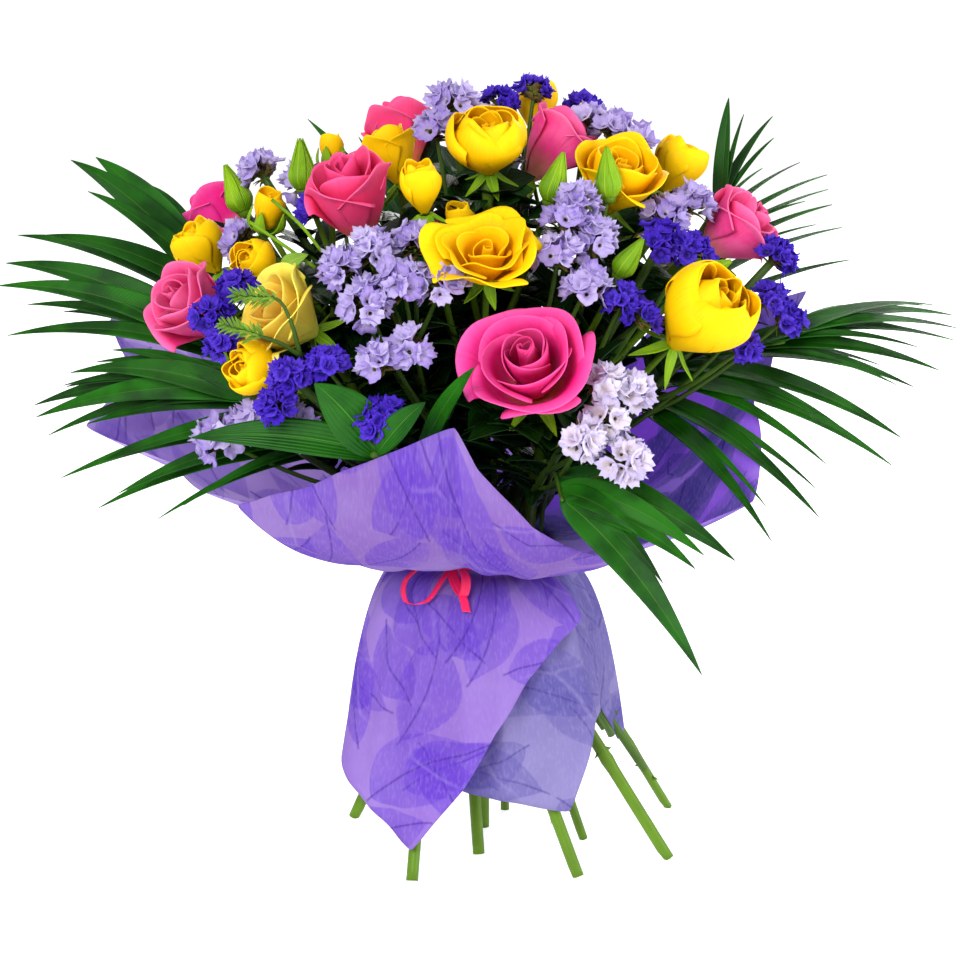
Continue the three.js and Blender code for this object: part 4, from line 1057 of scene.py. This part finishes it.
def compound_leaf(path, height, azimuth, size, rng):
    """A rose leaf: a stalk with five toothed leaflets."""
    at = path.at(path.share_at_height(height))
    out = direction_of(azimuth, rng.uniform(35, 85))
    side = unit(np.cross(out, (0, 0, 1)))
    face = np.cross(side, out)
    stalk = Path([at, at + out * size * 0.4, at + out * size * 0.8 - np.array([0, 0, 2])], 6)
    parts = []
    for share, aside in LEAFLETS:
        towards = out * (0.55 if aside else 1) + side * aside
        places = leaflet_places(stalk.at(share), towards, face, size * (0.8 if aside else 1),
                                size * 0.54, 0.15)
        parts.append(copy_of(leaflet_master, places, rng.uniform(0.2, 1.4)))
    return tube(stalk, lambda s: 0.8, 5, 4, lambda s: 1.5), parts


def foliage_on(path, top, size, rng):
    """Compound leaves up a stem, turned every way, between the tie and its top."""
    stalks, blades = [], []
    turn = rng.uniform(0, 360)
    for level in LEAF_LEVELS:
        height = lerp(NECK_HEIGHT + 24, top[2] - 10, level)
        stalk, leaflets = compound_leaf(path, height, turn, size * rng.uniform(0.85, 1.1), rng)
        turn += LEAF_TURN
        stalks.append(stalk)
        blades += leaflets
    return stalks, blades


def rose_stem_path(bloom, seat):
    """The line of a rose stem, ending square to its bloom."""
    axis = direction_of(*bloom[1])
    base = bloom_base(bloom)
    run = stem_run(seat, ROSE_FOOT, NECK_HEIGHT + ROSE_STRAIGHT)
    return Path([*run, base - axis * ROSE_BEND, base])


def knobbly(radius, joints, flare):
    """The radius along a rose stem: a small swelling at each joint, and the hip under the bloom."""
    def radius_at(share):
        swelling = sum(math.exp(-(((share - joint) / 0.012) ** 2)) for joint in joints)
        hip = math.exp(-(((share - 0.985) / 0.02) ** 2)) * flare
        return radius * (0.93 + 0.16 * swelling) + hip
    return radius_at


def make_rose_stem(name, bloom, seat, seed):
    rng = np.random.default_rng(seed)
    node = f"{name}_stem"
    path = rose_stem_path(bloom, seat)
    joints = rng.uniform(0.08, 0.8, 4)
    stem = tube(path, knobbly(ROSE_STEM, joints, PINK_HIP), 12, 60, painted_shade_inside)
    green = [stem, *thorns(path, ROSE_STEM, PINK_THORNS, rng)]
    stalks, leaves = foliage_on(path, bloom_base(bloom), PINK_LEAF, rng)
    make_piece(green + stalks, f"{name}_stem_rind", STEM, "green_stem", node)
    make_piece(sepal_parts(bloom, PINK_SEPAL), f"{name}_sepals", SEPAL, "green_stem", node,
               SEPAL_THICK, 1)
    make_piece(leaves, f"{name}_leaves", ROSE_LEAF, "ruscus_green", node, LEAF_THICK)


def make_rose(node, bloom, seed, style, finish_used, slot):
    make_piece(rose_petals(bloom, seed, style), f"{node}_petals", finish_used, slot, node,
               PETAL_THICK, 1)


# ---- spray stems ------------------------------------------------------------------------------

bpy.ops.mesh.primitive_uv_sphere_add(segments=10, ring_count=10, radius=1)
bud_master = bpy.context.object
bud_corners = corners_of(bud_master)


# A bud of size 1, measured down from its tip: how wide it is, where its foot and its hip lie.
BUD_FILL, BUD_RADIUS, BUD_FOOT, BUD_LENGTH = 0.92, 6.2, -17, 17.5
HIP_SIZE, HIP_PLACE = (3.4, 3.4, 3.6), (0, 0, -17.5)
BUD_SEAT, SEPAL_FOOT = 14, 16.5
BRANCH_RISE = 0.42


def bud_parts(tip, axis, size):
    """A closed bud, a pointed drop, and the small hip that it sits on."""
    turn = turn_onto(axis)
    size = BUD_FILL * size
    height = (bud_corners[:, 2] + 1) / 2
    girth = np.hypot(bud_corners[:, 0], bud_corners[:, 1])
    angle = np.arctan2(bud_corners[:, 1], bud_corners[:, 0])
    radius = BUD_RADIUS * girth * (1 - 0.7 * smooth_step(0.25, 1.0, height))
    radius = radius * (1 + 0.07 * np.cos(5 * angle))
    local = np.stack([radius * np.cos(angle), radius * np.sin(angle),
                      BUD_FOOT + BUD_LENGTH * height], -1)
    heart = copy_of(bud_master, np.asarray(tip) + size * local @ turn.T, 0.2)
    hip = bud_corners * HIP_SIZE + HIP_PLACE
    return heart, copy_of(bud_master, np.asarray(tip) + size * hip @ turn.T, 0.5)


def bud_petals(tip, axis, size, rng):
    """Petals wrapped round a bud that is about to open."""
    middle = np.asarray(tip) - axis * size * 8
    facing = (math.degrees(math.atan2(axis[1], axis[0])), math.degrees(math.acos(axis[2])))
    closed = (middle, facing, 9.5 * size, 19 * size)
    return [copy_of(petal_master, petal_places(closed, (reach, 1.0, 1.9, -0.2, 0.0, 0.02, 0.03),
                                               2.2 * number, rng), 0.6)
            for number, reach in enumerate((0.68, 0.74, 0.8))]


def bud_sepals(tip, axis, size, is_open, rng):
    """Sepals that close round a green bud, or stand off one that is about to open."""
    turn = turn_onto(axis)
    parts = []
    spread_out = 2.0 if is_open else 0.0
    length = 0.55 if is_open else 1.0
    for number in range(SEPALS):
        angle = 2 * math.pi * (number + 0.5) / SEPALS
        out = turn @ np.array([math.cos(angle), math.sin(angle), 0])
        side = np.cross(axis, out)
        flare = rng.uniform(0, 2.4) if is_open else rng.uniform(-0.5, 0.6)
        profile = [(-SEPAL_FOOT, 2.6), (-12, 6.1 + spread_out),
                   (-6, 4.4 + flare / 2 + 2 * spread_out), (4.5, 0.5 + flare + 3 * spread_out)]
        line = Path([np.asarray(tip)
                     + size * (axis * (length * (z + SEPAL_FOOT) - SEPAL_FOOT) + out * r)
                     for z, r in profile], 10)
        u, v = 2 * sepal_u - 1, sepal_v
        half = size * (3.4 * np.sin(np.pi * np.clip(v, 0.03, 1) ** 0.6) ** 0.8 + 0.12)
        places = line.at(v) + side * (u * half)[:, None] - out * (0.42 * u * u * half)[:, None]
        parts.append(copy_of(sepal_master, places, rng.uniform(0, 0.25)))
    return parts


def spray_paths(seat, foot, target, tips):
    """The main stem of a spray, up to its first tip, and a branch to each other tip."""
    run = stem_run(seat, foot, NECK_HEIGHT + SPRAY_STRAIGHT)
    main = Path([*run, NECK + (target - NECK) * BRANCH_RISE, tips[0]])
    paths = [main]
    for count, tip in enumerate(tips[1:]):
        fork = main.at(0.62 + 0.05 * count)
        middle = (fork + tip) / 2 - np.array([0, 0, 0.05 * np.linalg.norm(tip - fork)])
        paths.append(Path([fork, middle, tip]))
    return paths


def make_yellow_stem(spray, seed):
    name = spray["name"]
    rng = np.random.default_rng(seed)
    paths = spray_paths(spray["seat"], ROSE_FOOT, spray["target"], spray["tips"])
    joints = rng.uniform(0.08, 0.7, 3)
    green = [tube(paths[0], knobbly(SPRAY_STEM, joints, SPRAY_HIP), 10, 60, painted_shade_inside)]
    # Branches carry painted shade: darkest at the fork inside the bouquet, lighter towards the tip.
    green += [tube(path, lambda s: lerp(1.9, 1.5, s), 8, 16, lambda s: 1.6 - s)
              for path in paths[1:]]
    green += thorns(paths[0], SPRAY_STEM, SPRAY_THORNS, rng)
    cups, petals = [], []
    for bloom in spray["blooms"]:
        cups += sepal_parts(bloom, SPRAY_SEPAL)
    for tip, facing, size, colour in spray["buds"]:
        axis = direction_of(*facing)
        heart, hip = bud_parts(tip, axis, size)
        green.append(hip)
        (petals if colour != "green" else green).append(heart)
        if colour == "yellow":
            petals += bud_petals(tip, axis, size, rng)
        cups += bud_sepals(tip, axis, size, colour == "yellow", rng)
    stalks, leaves = foliage_on(paths[0], spray["tips"][0], SPRAY_LEAF, rng)
    make_piece(green + stalks, f"{name}_rind", STEM, "green_stem", name)
    make_piece(cups, f"{name}_sepals", SEPAL, "green_stem", name, SEPAL_THICK, 1)
    if petals:
        make_piece(petals, f"{name}_bud_petals", YELLOW, "yellow_petals", name,
                   BUD_PETAL_THICK, 1)
    make_piece(leaves, f"{name}_leaves", ROSE_LEAF, "ruscus_green", name, LEAF_THICK)


# ---- statice ----------------------------------------------------------------------------------

floret_master, floret_u, floret_v = flat_grid(22, 3)


def floret_places(at, axis, length, mouth, rng):
    """A funnel-shaped papery calyx with a ruffled rim."""
    angle = 2 * math.pi * floret_u
    flare = 0.1 + 0.22 * floret_v + 0.68 * floret_v ** 2.6
    phase = rng.uniform(0, 6, 3)
    frill = (0.8 * np.sin(2 * angle + phase[0]) + 0.9 * np.sin(5 * angle + phase[1])
             + 0.9 * np.sin(11 * angle + phase[2])) * floret_v ** 3
    radius = mouth * flare * (1 + 0.1 * frill)
    up = length * floret_v + 0.13 * length * frill
    local = np.stack([radius * np.cos(angle), radius * np.sin(angle), up], -1)
    return at + local @ turn_onto(axis).T


def statice_head(head, kind, rng):
    """Florets crowded on the outer side of a head, with green-brown bracts behind them."""
    usual_count, mouth, paleness = kind
    centre, radius = np.array(head[:3], float), head[3]
    axis = unit(outward(centre) + rng.normal(0, 0.2, 3))
    turn = turn_onto(axis)
    squash = np.array([rng.uniform(0.8, 1.1), rng.uniform(0.7, 1.0), rng.uniform(0.8, 1.05)])
    florets, bracts = [], []
    count = int(usual_count * (radius / USUAL_HEAD) ** 2)
    for number in range(count):
        height = 1 - 1.25 * (number + rng.uniform(0.2, 0.8)) / count
        ring = math.sqrt(1 - height * height)
        angle = number * GOLDEN_TURN + rng.uniform(-0.4, 0.4)
        ray = turn @ (squash * np.array([ring * math.cos(angle), ring * math.sin(angle), height]))
        facing = unit(ray + 0.45 * axis + rng.normal(0, 0.28, 3))
        reach = radius * rng.uniform(0.3, 0.66)
        length = 1.15 * mouth * rng.uniform(0.85, 1.15)
        size = mouth * rng.uniform(0.75, 1.15)
        places = floret_places(centre + ray * reach, facing, length, size, rng)
        florets.append(copy_of(floret_master, places, paleness * rng.uniform(0, 1)))
    for number in range(BRACTS_PER_HEAD):
        ray = unit(turn @ np.array([math.cos(number * 0.45), math.sin(number * 0.45), 0.3])
                   + rng.normal(0, 0.3, 3))
        start = centre - axis * radius * rng.uniform(0, 0.5)
        end = start + ray * radius * rng.uniform(0.55, 0.95)
        places = arched_leaf(sepal_u, sepal_v, start, end, axis, 3.6, 0.1, blunt=0.8)
        bracts.append(copy_of(sepal_master, places, rng.uniform(0, 1)))
    return florets, bracts


def make_statice(spray, kind, finish_used, slot, seed):
    name = spray["name"]
    rng = np.random.default_rng(seed)
    paths = spray_paths(spray["seat"], STATICE_FOOT, spray["target"], spray["tips"])
    stems = [tube(paths[0], lambda s: STATICE_STEM, 8, 40, painted_shade_inside)]
    # Branches carry painted shade: darkest at the fork inside the bouquet, lighter towards the tip.
    stems += [tube(path, lambda s: lerp(1.5, 1.0, s), 6, 12, lambda s: 1.8 - s)
              for path in paths[1:]]
    florets, bracts, wings = [], [], []
    for head in spray["heads"]:
        centre = np.array(head[:3], float)
        out = outward(centre)
        flowers, leaves = statice_head(head, kind, rng)
        florets += flowers
        bracts += leaves
        for _ in range(TWIGS_PER_HEAD):
            ray = unit(out * 0.4 + rng.normal(0, 0.6, 3))
            twig = Path([centre - out * 4, centre + ray * 2, centre + ray * head[3] * 0.5], 4)
            stems.append(tube(twig, lambda s: 0.7, 5, 4))
    for number in range(STATICE_LEAVES):
        share = 0.56 + 0.34 * number / STATICE_LEAVES
        towards = direction_of(number * LEAF_TURN + rng.uniform(-30, 30), rng.uniform(35, 95))
        at = paths[0].at(share)
        places = arched_leaf(leaflet_u, leaflet_v, at, at + towards * rng.uniform(24, 36),
                             (0, 0, 1), rng.uniform(9, 13), 0.1, twist=rng.uniform(-1, 1))
        wings.append(copy_of(leaflet_master, places, rng.uniform(0.4, 1.5)))
    make_piece(wings, f"{name}_leaves", ROSE_LEAF, slot, name, LEAF_THICK)
    make_piece(stems, f"{name}_stem", DARK_STEM, slot, name)
    make_piece(bracts, f"{name}_bracts", BRACT, slot, name, SCALE_THICK)
    make_piece(florets, f"{name}_florets", finish_used, slot, name, FLORET_THICK)


# ---- greenery ---------------------------------------------------------------------------------

PALM_LIFT, RUSCUS_LIFT, TWIG_ARCH = 0.08, 0.06, 6
LEAFY_START = NECK_HEIGHT + LEAFY_STRAIGHT


def leafy_path(seat, tip, arch):
    """The line of a petiole and its midrib, from its foot through the tie to its tip."""
    tip = np.array(tip, float)
    start = strand(seat, LEAFY_START)
    middle = start + (tip - start) * 0.55 + np.array([0, 0, arch])
    return Path([*stem_run(seat, PETIOLE_FOOT, LEAFY_START), middle, tip])


def make_palm(name, frond, seat, seed):
    """A palm leaf: its midrib and its leaflets, in fine fronds each with a slimmer one."""
    tip, arch, face, leaflets = frond
    rng = np.random.default_rng(seed)
    path = leafy_path(seat, tip, arch)
    rib = tube(path, lambda s: lerp(PETIOLE, 0.8, s), 8, 50)
    blades = []
    for share, end, width in leaflets:
        width *= LEAFLET_BREADTHS.get(name, 1)
        base = path.at(1 - LEAFLET_STARTS.get(name, 1) * (1 - share))
        end = np.array(end, float)
        aside = unit(np.cross(end - base, face)) * rng.choice((-1, 1)) * width
        slim_end = base + (end - base) * rng.uniform(0.78, 0.92) + aside
        blade_ends = [(end, 0.95), (slim_end, 0.55)] if name in FINE_FRONDS else [(end, 1.0)]
        for point, broad in blade_ends:
            places = arched_leaf(leaf_u, leaf_v, base, point, face, width * broad, PALM_LIFT,
                                 blunt=0.52, twist=rng.uniform(-0.35, 0.35))
            blades.append(copy_of(leaf_master, places, rng.uniform(0, 1)))
    make_piece([rib], f"{name}_midrib", DARK_STEM, "palm_green", name)
    make_piece(blades, f"{name}_leaflets", PALM, "palm_green", name, PALM_THICK, 1)


def make_ruscus(name, sprig, seat, seed):
    """A twig with broad leaves that face outwards."""
    tip, leaves = sprig
    rng = np.random.default_rng(seed)
    path = leafy_path(seat, tip, TWIG_ARCH)
    twig = tube(path, lambda s: PETIOLE, 8, 50)
    make_piece([twig], f"{name}_twig", DARK_STEM, "ruscus_green", name)
    face = unit((0, -0.8 if tip[1] < 0 else 0.8, 0.5))
    blades = []
    for share, end, width in leaves:
        places = arched_leaf(leaf_u, leaf_v, path.at(share), end, face, width, RUSCUS_LIFT,
                             blunt=0.75, twist=rng.uniform(-0.3, 0.3))
        blades.append(copy_of(leaf_master, places, rng.uniform(0, 1)))
    make_piece(blades, f"{name}_leaves", RUSCUS, "ruscus_green", name, RUSCUS_THICK, 1)


def make_combs(name):
    """Unopened flower combs: a curved stalk with pale overlapping scales on both sides."""
    rng = np.random.default_rng(SEEDS["comb"])
    stalks, scales = [], []
    for foot, base, tip in COMBS:
        foot, base, tip = (np.array(place, float) for place in (foot, base, tip))
        line = Path([foot, lerp(foot, base, 0.6) + (2, 0, 0), base, tip])
        stalks.append(tube(line, lambda s: lerp(1.3, 0.6, s), 6, 14, lambda s: 1.2))
        run = unit(tip - base)
        side = unit(np.cross(run, (0, 1, 0)))
        for number in range(SCALES_PER_COMB):
            at = lerp(base, tip, number / SCALES_PER_COMB)
            away = (1 if number % 2 else -1) * rng.uniform(0.2, 1.5)
            reach = run + side * away + np.array([0, -1, 0.3]) * rng.uniform(-0.2, 1)
            length = 9.5 * (1 - 0.4 * number / SCALES_PER_COMB) * rng.uniform(0.6, 1.1)
            places = arched_leaf(sepal_u, sepal_v, at, at + unit(reach) * length, (0, -1, 0.3),
                                 1.1, 0.05, blunt=0.8)
            scales.append(copy_of(sepal_master, places, rng.uniform(0, 1)))
    make_piece(stalks, f"{name}_comb_stalks", DARK_STEM, "violet_statice", name)
    make_piece(scales, f"{name}_combs", COMB, "violet_statice", name, SCALE_THICK)


def make_thin_twigs(name):
    """Bare twigs and one pale leaf beside a spray."""
    twigs = [tube(Path(line), lambda s: 0.9, 6, 12) for line in THIN_TWIGS]
    make_piece(twigs, f"{name}_thin_twigs", SEPAL, "green_stem", name)
    base, tip = PALE_LEAF
    places = arched_leaf(leaflet_u, leaflet_v, base, tip, (0, -1, 0.4), 8, 0.05)
    leaf = copy_of(leaflet_master, places, 0.2)
    make_piece([leaf], f"{name}_pale_leaf", COMB, "green_stem", name, LEAF_THICK, 1)


# ---- wrapping ---------------------------------------------------------------------------------

PAPER_ACROSS, PAPER_ALONG, ROW_CROWDING = 96, 72, 1.15


def rim_curve(outline, shares):
    """The outline of a cut edge at shares of its points, with soft corners."""
    p = np.asarray(outline, float)
    p = np.concatenate([2 * p[:1] - p[1:2], p, 2 * p[-1:] - p[-2:-1]])
    row = np.clip(shares, 0, 1) * (len(outline) - 1)
    i = np.minimum(row.astype(int), len(outline) - 2)
    t = (row - i)[:, None]
    a, b, c, d = p[i], p[i + 1], p[i + 2], p[i + 3]
    m, n = OUTLINE_SOFTNESS * (c - a), OUTLINE_SOFTNESS * (d - b)
    return ((2 * t ** 3 - 3 * t ** 2 + 1) * b + (t ** 3 - 2 * t ** 2 + t) * m
            + (-2 * t ** 3 + 3 * t ** 2) * c + (t ** 3 - t ** 2) * n)


def make_paper(name, sheet, finish_used, slot):
    """A pleated sheet: skirt, neck and collar in one, between its two cut edges."""
    neck, bow, collar, skirt = sheet
    grid, u, v = flat_grid(PAPER_ACROSS, PAPER_ALONG)
    station = np.where(v < 0.5, -((1 - 2 * v) ** ROW_CROWDING), (2 * v - 1) ** ROW_CROWDING)
    is_collar = station > 0
    rim = np.where(is_collar[:, None], rim_curve(collar, u), rim_curve(skirt, u))
    share = np.clip((np.abs(station) - NECK_BAND) / (1 - NECK_BAND), 0, 1)
    edge = NECK_HEIGHT + 5 * np.clip(station / NECK_BAND, -1, 1) - 2
    climb = np.where(is_collar, COLLAR_CLIMB * share + (1 - COLLAR_CLIMB) * share ** bow,
                     share ** SKIRT_FALL)
    out = lerp(neck, rim[:, 1], np.where(is_collar, share, share ** SKIRT_FLARE))
    azimuth = np.radians(rim[:, 0])
    height = lerp(edge, rim[:, 2], climb)
    height = height - np.where(is_collar, COLLAR_SAG * np.sin(np.pi * share), 0)
    crease = np.cos(PLEATS * azimuth) + 0.6 * np.cos(FINE_PLEATS * azimuth + 1)
    fold = (0.55 + 3.2 * share * (1 - share)) * crease
    broad = 2.6 * np.sin(BROAD_FOLDS * azimuth + 0.8) * share ** 0.8
    out = out + fold * 0.8 + broad * np.where(is_collar, 0.5, 1)
    height = height + (fold + broad) * np.where(is_collar, 0.7, 0)
    places = np.stack([out * np.cos(azimuth), out * np.sin(azimuth), height], -1)
    # Tone 0 on the skirt, rising across the collar, where it brings in the collar colour with its
    # painted light and shade.
    piece = copy_of(grid, places, np.where(is_collar, smooth_step(0, 0.3, share), 0))
    remove(grid)
    around = (azimuth - azimuth.mean()) * neck * 1.6
    flat = np.where(is_collar[:, None], places[:, :2], np.stack([around, places[:, 2]], -1)) * MM
    corner = np.empty(len(piece.data.loops), np.int32)
    piece.data.loops.foreach_get("vertex_index", corner)
    piece.data.uv_layers.active.data.foreach_set("uv", flat[corner].astype(np.float32).ravel())
    return make_piece([piece], f"{name}_wrap", finish_used, slot, name, PAPER_THICK)


def ring_of(profile):
    """A closed band round the neck from a closed outline of radius and height."""
    outline = np.array(profile + profile[:1], float)
    grid, around, across = flat_grid(BAND_SIDES, len(profile))
    row = np.rint(across * len(profile)).astype(int)
    angle = 2 * np.pi * around
    out, height = outline[row, 0], outline[row, 1]
    piece = copy_of(grid, np.stack([out * np.cos(angle), out * np.sin(angle), height], -1))
    remove(grid)
    close_tube(piece)
    return piece


def strap(line, half):
    """A flat strap along places given as azimuth, out and height, its breadth given by half."""
    path = Path([[out * math.cos(math.radians(az)), out * math.sin(math.radians(az)), height]
                 for az, out, height in line], 16)
    aside = direction_of(line[0][0] + 90, 90)
    grid, u, v = flat_grid(4, 40)
    places = path.at(v) + aside * ((2 * u - 1) * half)[:, None]
    piece = copy_of(grid, places)
    remove(grid)
    add_modifier(piece, "SOLIDIFY", thickness=STRAP_THICK * MM, offset=0)
    return piece


def make_ribbon():
    inner, outer, bottom = RIBBON_RADIUS, RIBBON_RADIUS + BAND_DEPTH, RIBBON_BOTTOM
    top = bottom + RIBBON_WIDTH
    parts = [ring_of([(inner, bottom), (outer, bottom), (outer + BAND_BULGE, (bottom + top) / 2),
                      (outer, top), (inner, top)])]
    front = outer - STRAP_THICK
    for line, half in RIBBON_ENDS:
        parts.append(strap([(azimuth, front + out, top + up) for azimuth, out, up in line], half))
    make_piece(parts, "ribbon_tie", RIBBON, "red_ribbon", "ribbon")


def make_twine():
    """Turns of twine side by side round the stems, each of two plies twisted together."""
    bottom = NECK_HEIGHT - TWINE_TURNS * TWINE_CORD
    angles = np.linspace(0, 2 * math.pi, PLY_STEPS + 1)
    plies = []
    for turn in range(TWINE_TURNS):
        middle = bottom + (2 * turn + 1) * TWINE_CORD
        for ply in (0, math.pi):
            twist = PLY_TWISTS * angles + ply
            out = TWINE_RADIUS + TWINE_CORD + PLY_OFFSET * np.cos(twist)
            height = middle + PLY_OFFSET * np.sin(twist)
            ring = np.stack([out * np.cos(angles), out * np.sin(angles), height], -1)
            plies.append(tube(Path(ring, 2), lambda s: PLY_RADIUS, 6, PLY_STEPS))
    make_piece(plies, "binding_twine_turns", TWINE, "natural_twine", "binding_twine")


# ---- assembly ---------------------------------------------------------------------------------

PINKS = [HOT_PINK, CORAL_PINK, SOFT_PINK, SOFT_PINK, SOFT_PINK, HOT_PINK, CORAL_PINK, HOT_PINK]
PAPERS = [(WRAP, "violet_paper"), (BLUE_WRAP, "blue_violet_paper"), (PAINTED_LIGHT_WRAP, "violet_paper")]
OPEN_ROSE, PALE_BLOOM, WHITE_SPRAY = "pink_rose_1", "3a", "lilac_statice_3"
YELLOW_STYLES = {"1c": "wide", "2a": "cup", "3a": "vase", "4c": "cup", "5c": "cup"}
roses = [{"name": f"pink_rose_{n + 1}", "bloom": bloom, "target": bloom_base(bloom),
          "radius": ROSE_STEM} for n, bloom in enumerate(PINK_ROSES)]
sprays = []
for n, (blooms, buds) in enumerate(YELLOW_SPRAYS):
    tips = [bloom_base(bloom) for bloom in blooms]
    tips += [np.array(tip) - direction_of(*facing) * BUD_SEAT * size
             for tip, facing, size, _ in buds]
    sprays.append({"name": f"yellow_spray_stem_{n + 1}", "blooms": blooms, "buds": buds,
                   "tips": tips, "target": sum(tips) / len(tips), "radius": SPRAY_STEM})


def statice_sprays(kind, table):
    made = []
    for n, heads in enumerate(table):
        tips = [np.array(head[:3], float) for head in heads]
        made.append({"name": f"{kind}_statice_{n + 1}", "heads": heads, "tips": tips,
                     "target": sum(tips) / len(tips), "radius": STATICE_STEM})
    return made


lilac = statice_sprays("lilac", LILAC_SPRAYS)
violet = statice_sprays("violet", VIOLET_SPRAYS)
seat_stems([*roses, *sprays, *lilac, *violet])
leafy = [{"tip": frond[0]} for frond in PALM_FRONDS + RUSCUS_SPRIGS]
for one in leafy:
    target = (one["tip"][0], one["tip"][1], NECK_HEIGHT + GREENERY_CROSSING)
    one["seat"] = seat_for(target, GREENERY_RING, PETIOLE)
space_out([one["seat"] for one in leafy])

for n, rose in enumerate(roses):
    style = "spiral" if rose["name"] == OPEN_ROSE else "vase"
    make_rose(rose["name"], rose["bloom"], SEEDS["pink"] + n, style, PINKS[n], "pink_petals")
    make_rose_stem(rose["name"], rose["bloom"], rose["seat"], SEEDS["pink_stem"] + n)
for n, spray in enumerate(sprays):
    for m, bloom in enumerate(spray["blooms"]):
        node = f"yellow_spray_rose_{n + 1}{'abc'[m]}"
        style = YELLOW_STYLES.get(node[-2:], "globe")
        used = PALE_YELLOW if node.endswith(PALE_BLOOM) else YELLOW
        make_rose(node, bloom, SEEDS["yellow"] + 5 * n + m, style, used, "yellow_petals")
    make_yellow_stem(spray, SEEDS["yellow_stem"] + n)
for n, spray in enumerate(lilac):
    used = WHITE_LILAC if spray["name"] == WHITE_SPRAY else LILAC
    make_statice(spray, LILAC_FLORETS, used, "lilac_statice", SEEDS["lilac"] + n)
for n, spray in enumerate(violet):
    make_statice(spray, VIOLET_FLORETS, VIOLET, "violet_statice", SEEDS["violet"] + n)
for n, frond in enumerate(PALM_FRONDS):
    make_palm(f"palm_frond_{n + 1}", frond, leafy[n]["seat"], SEEDS["palm"] + n)
for n, sprig in enumerate(RUSCUS_SPRIGS):
    seat = leafy[len(PALM_FRONDS) + n]["seat"]
    make_ruscus(f"ruscus_sprig_{n + 1}", sprig, seat, SEEDS["ruscus"] + n)
make_combs(violet[0]["name"])
make_thin_twigs(sprays[3]["name"])
remove(petal_master, sepal_master, thorn_master, leaf_master, leaflet_master, bud_master,
       floret_master)
for n, (sheet, cut, paper) in enumerate(zip(PAPER_SHEETS, SHEET_CUTS, PAPERS)):
    piece = make_paper(f"paper_sheet_{n + 1}", sheet, *paper)
    width, length, area = cut
make_ribbon()
make_twine()
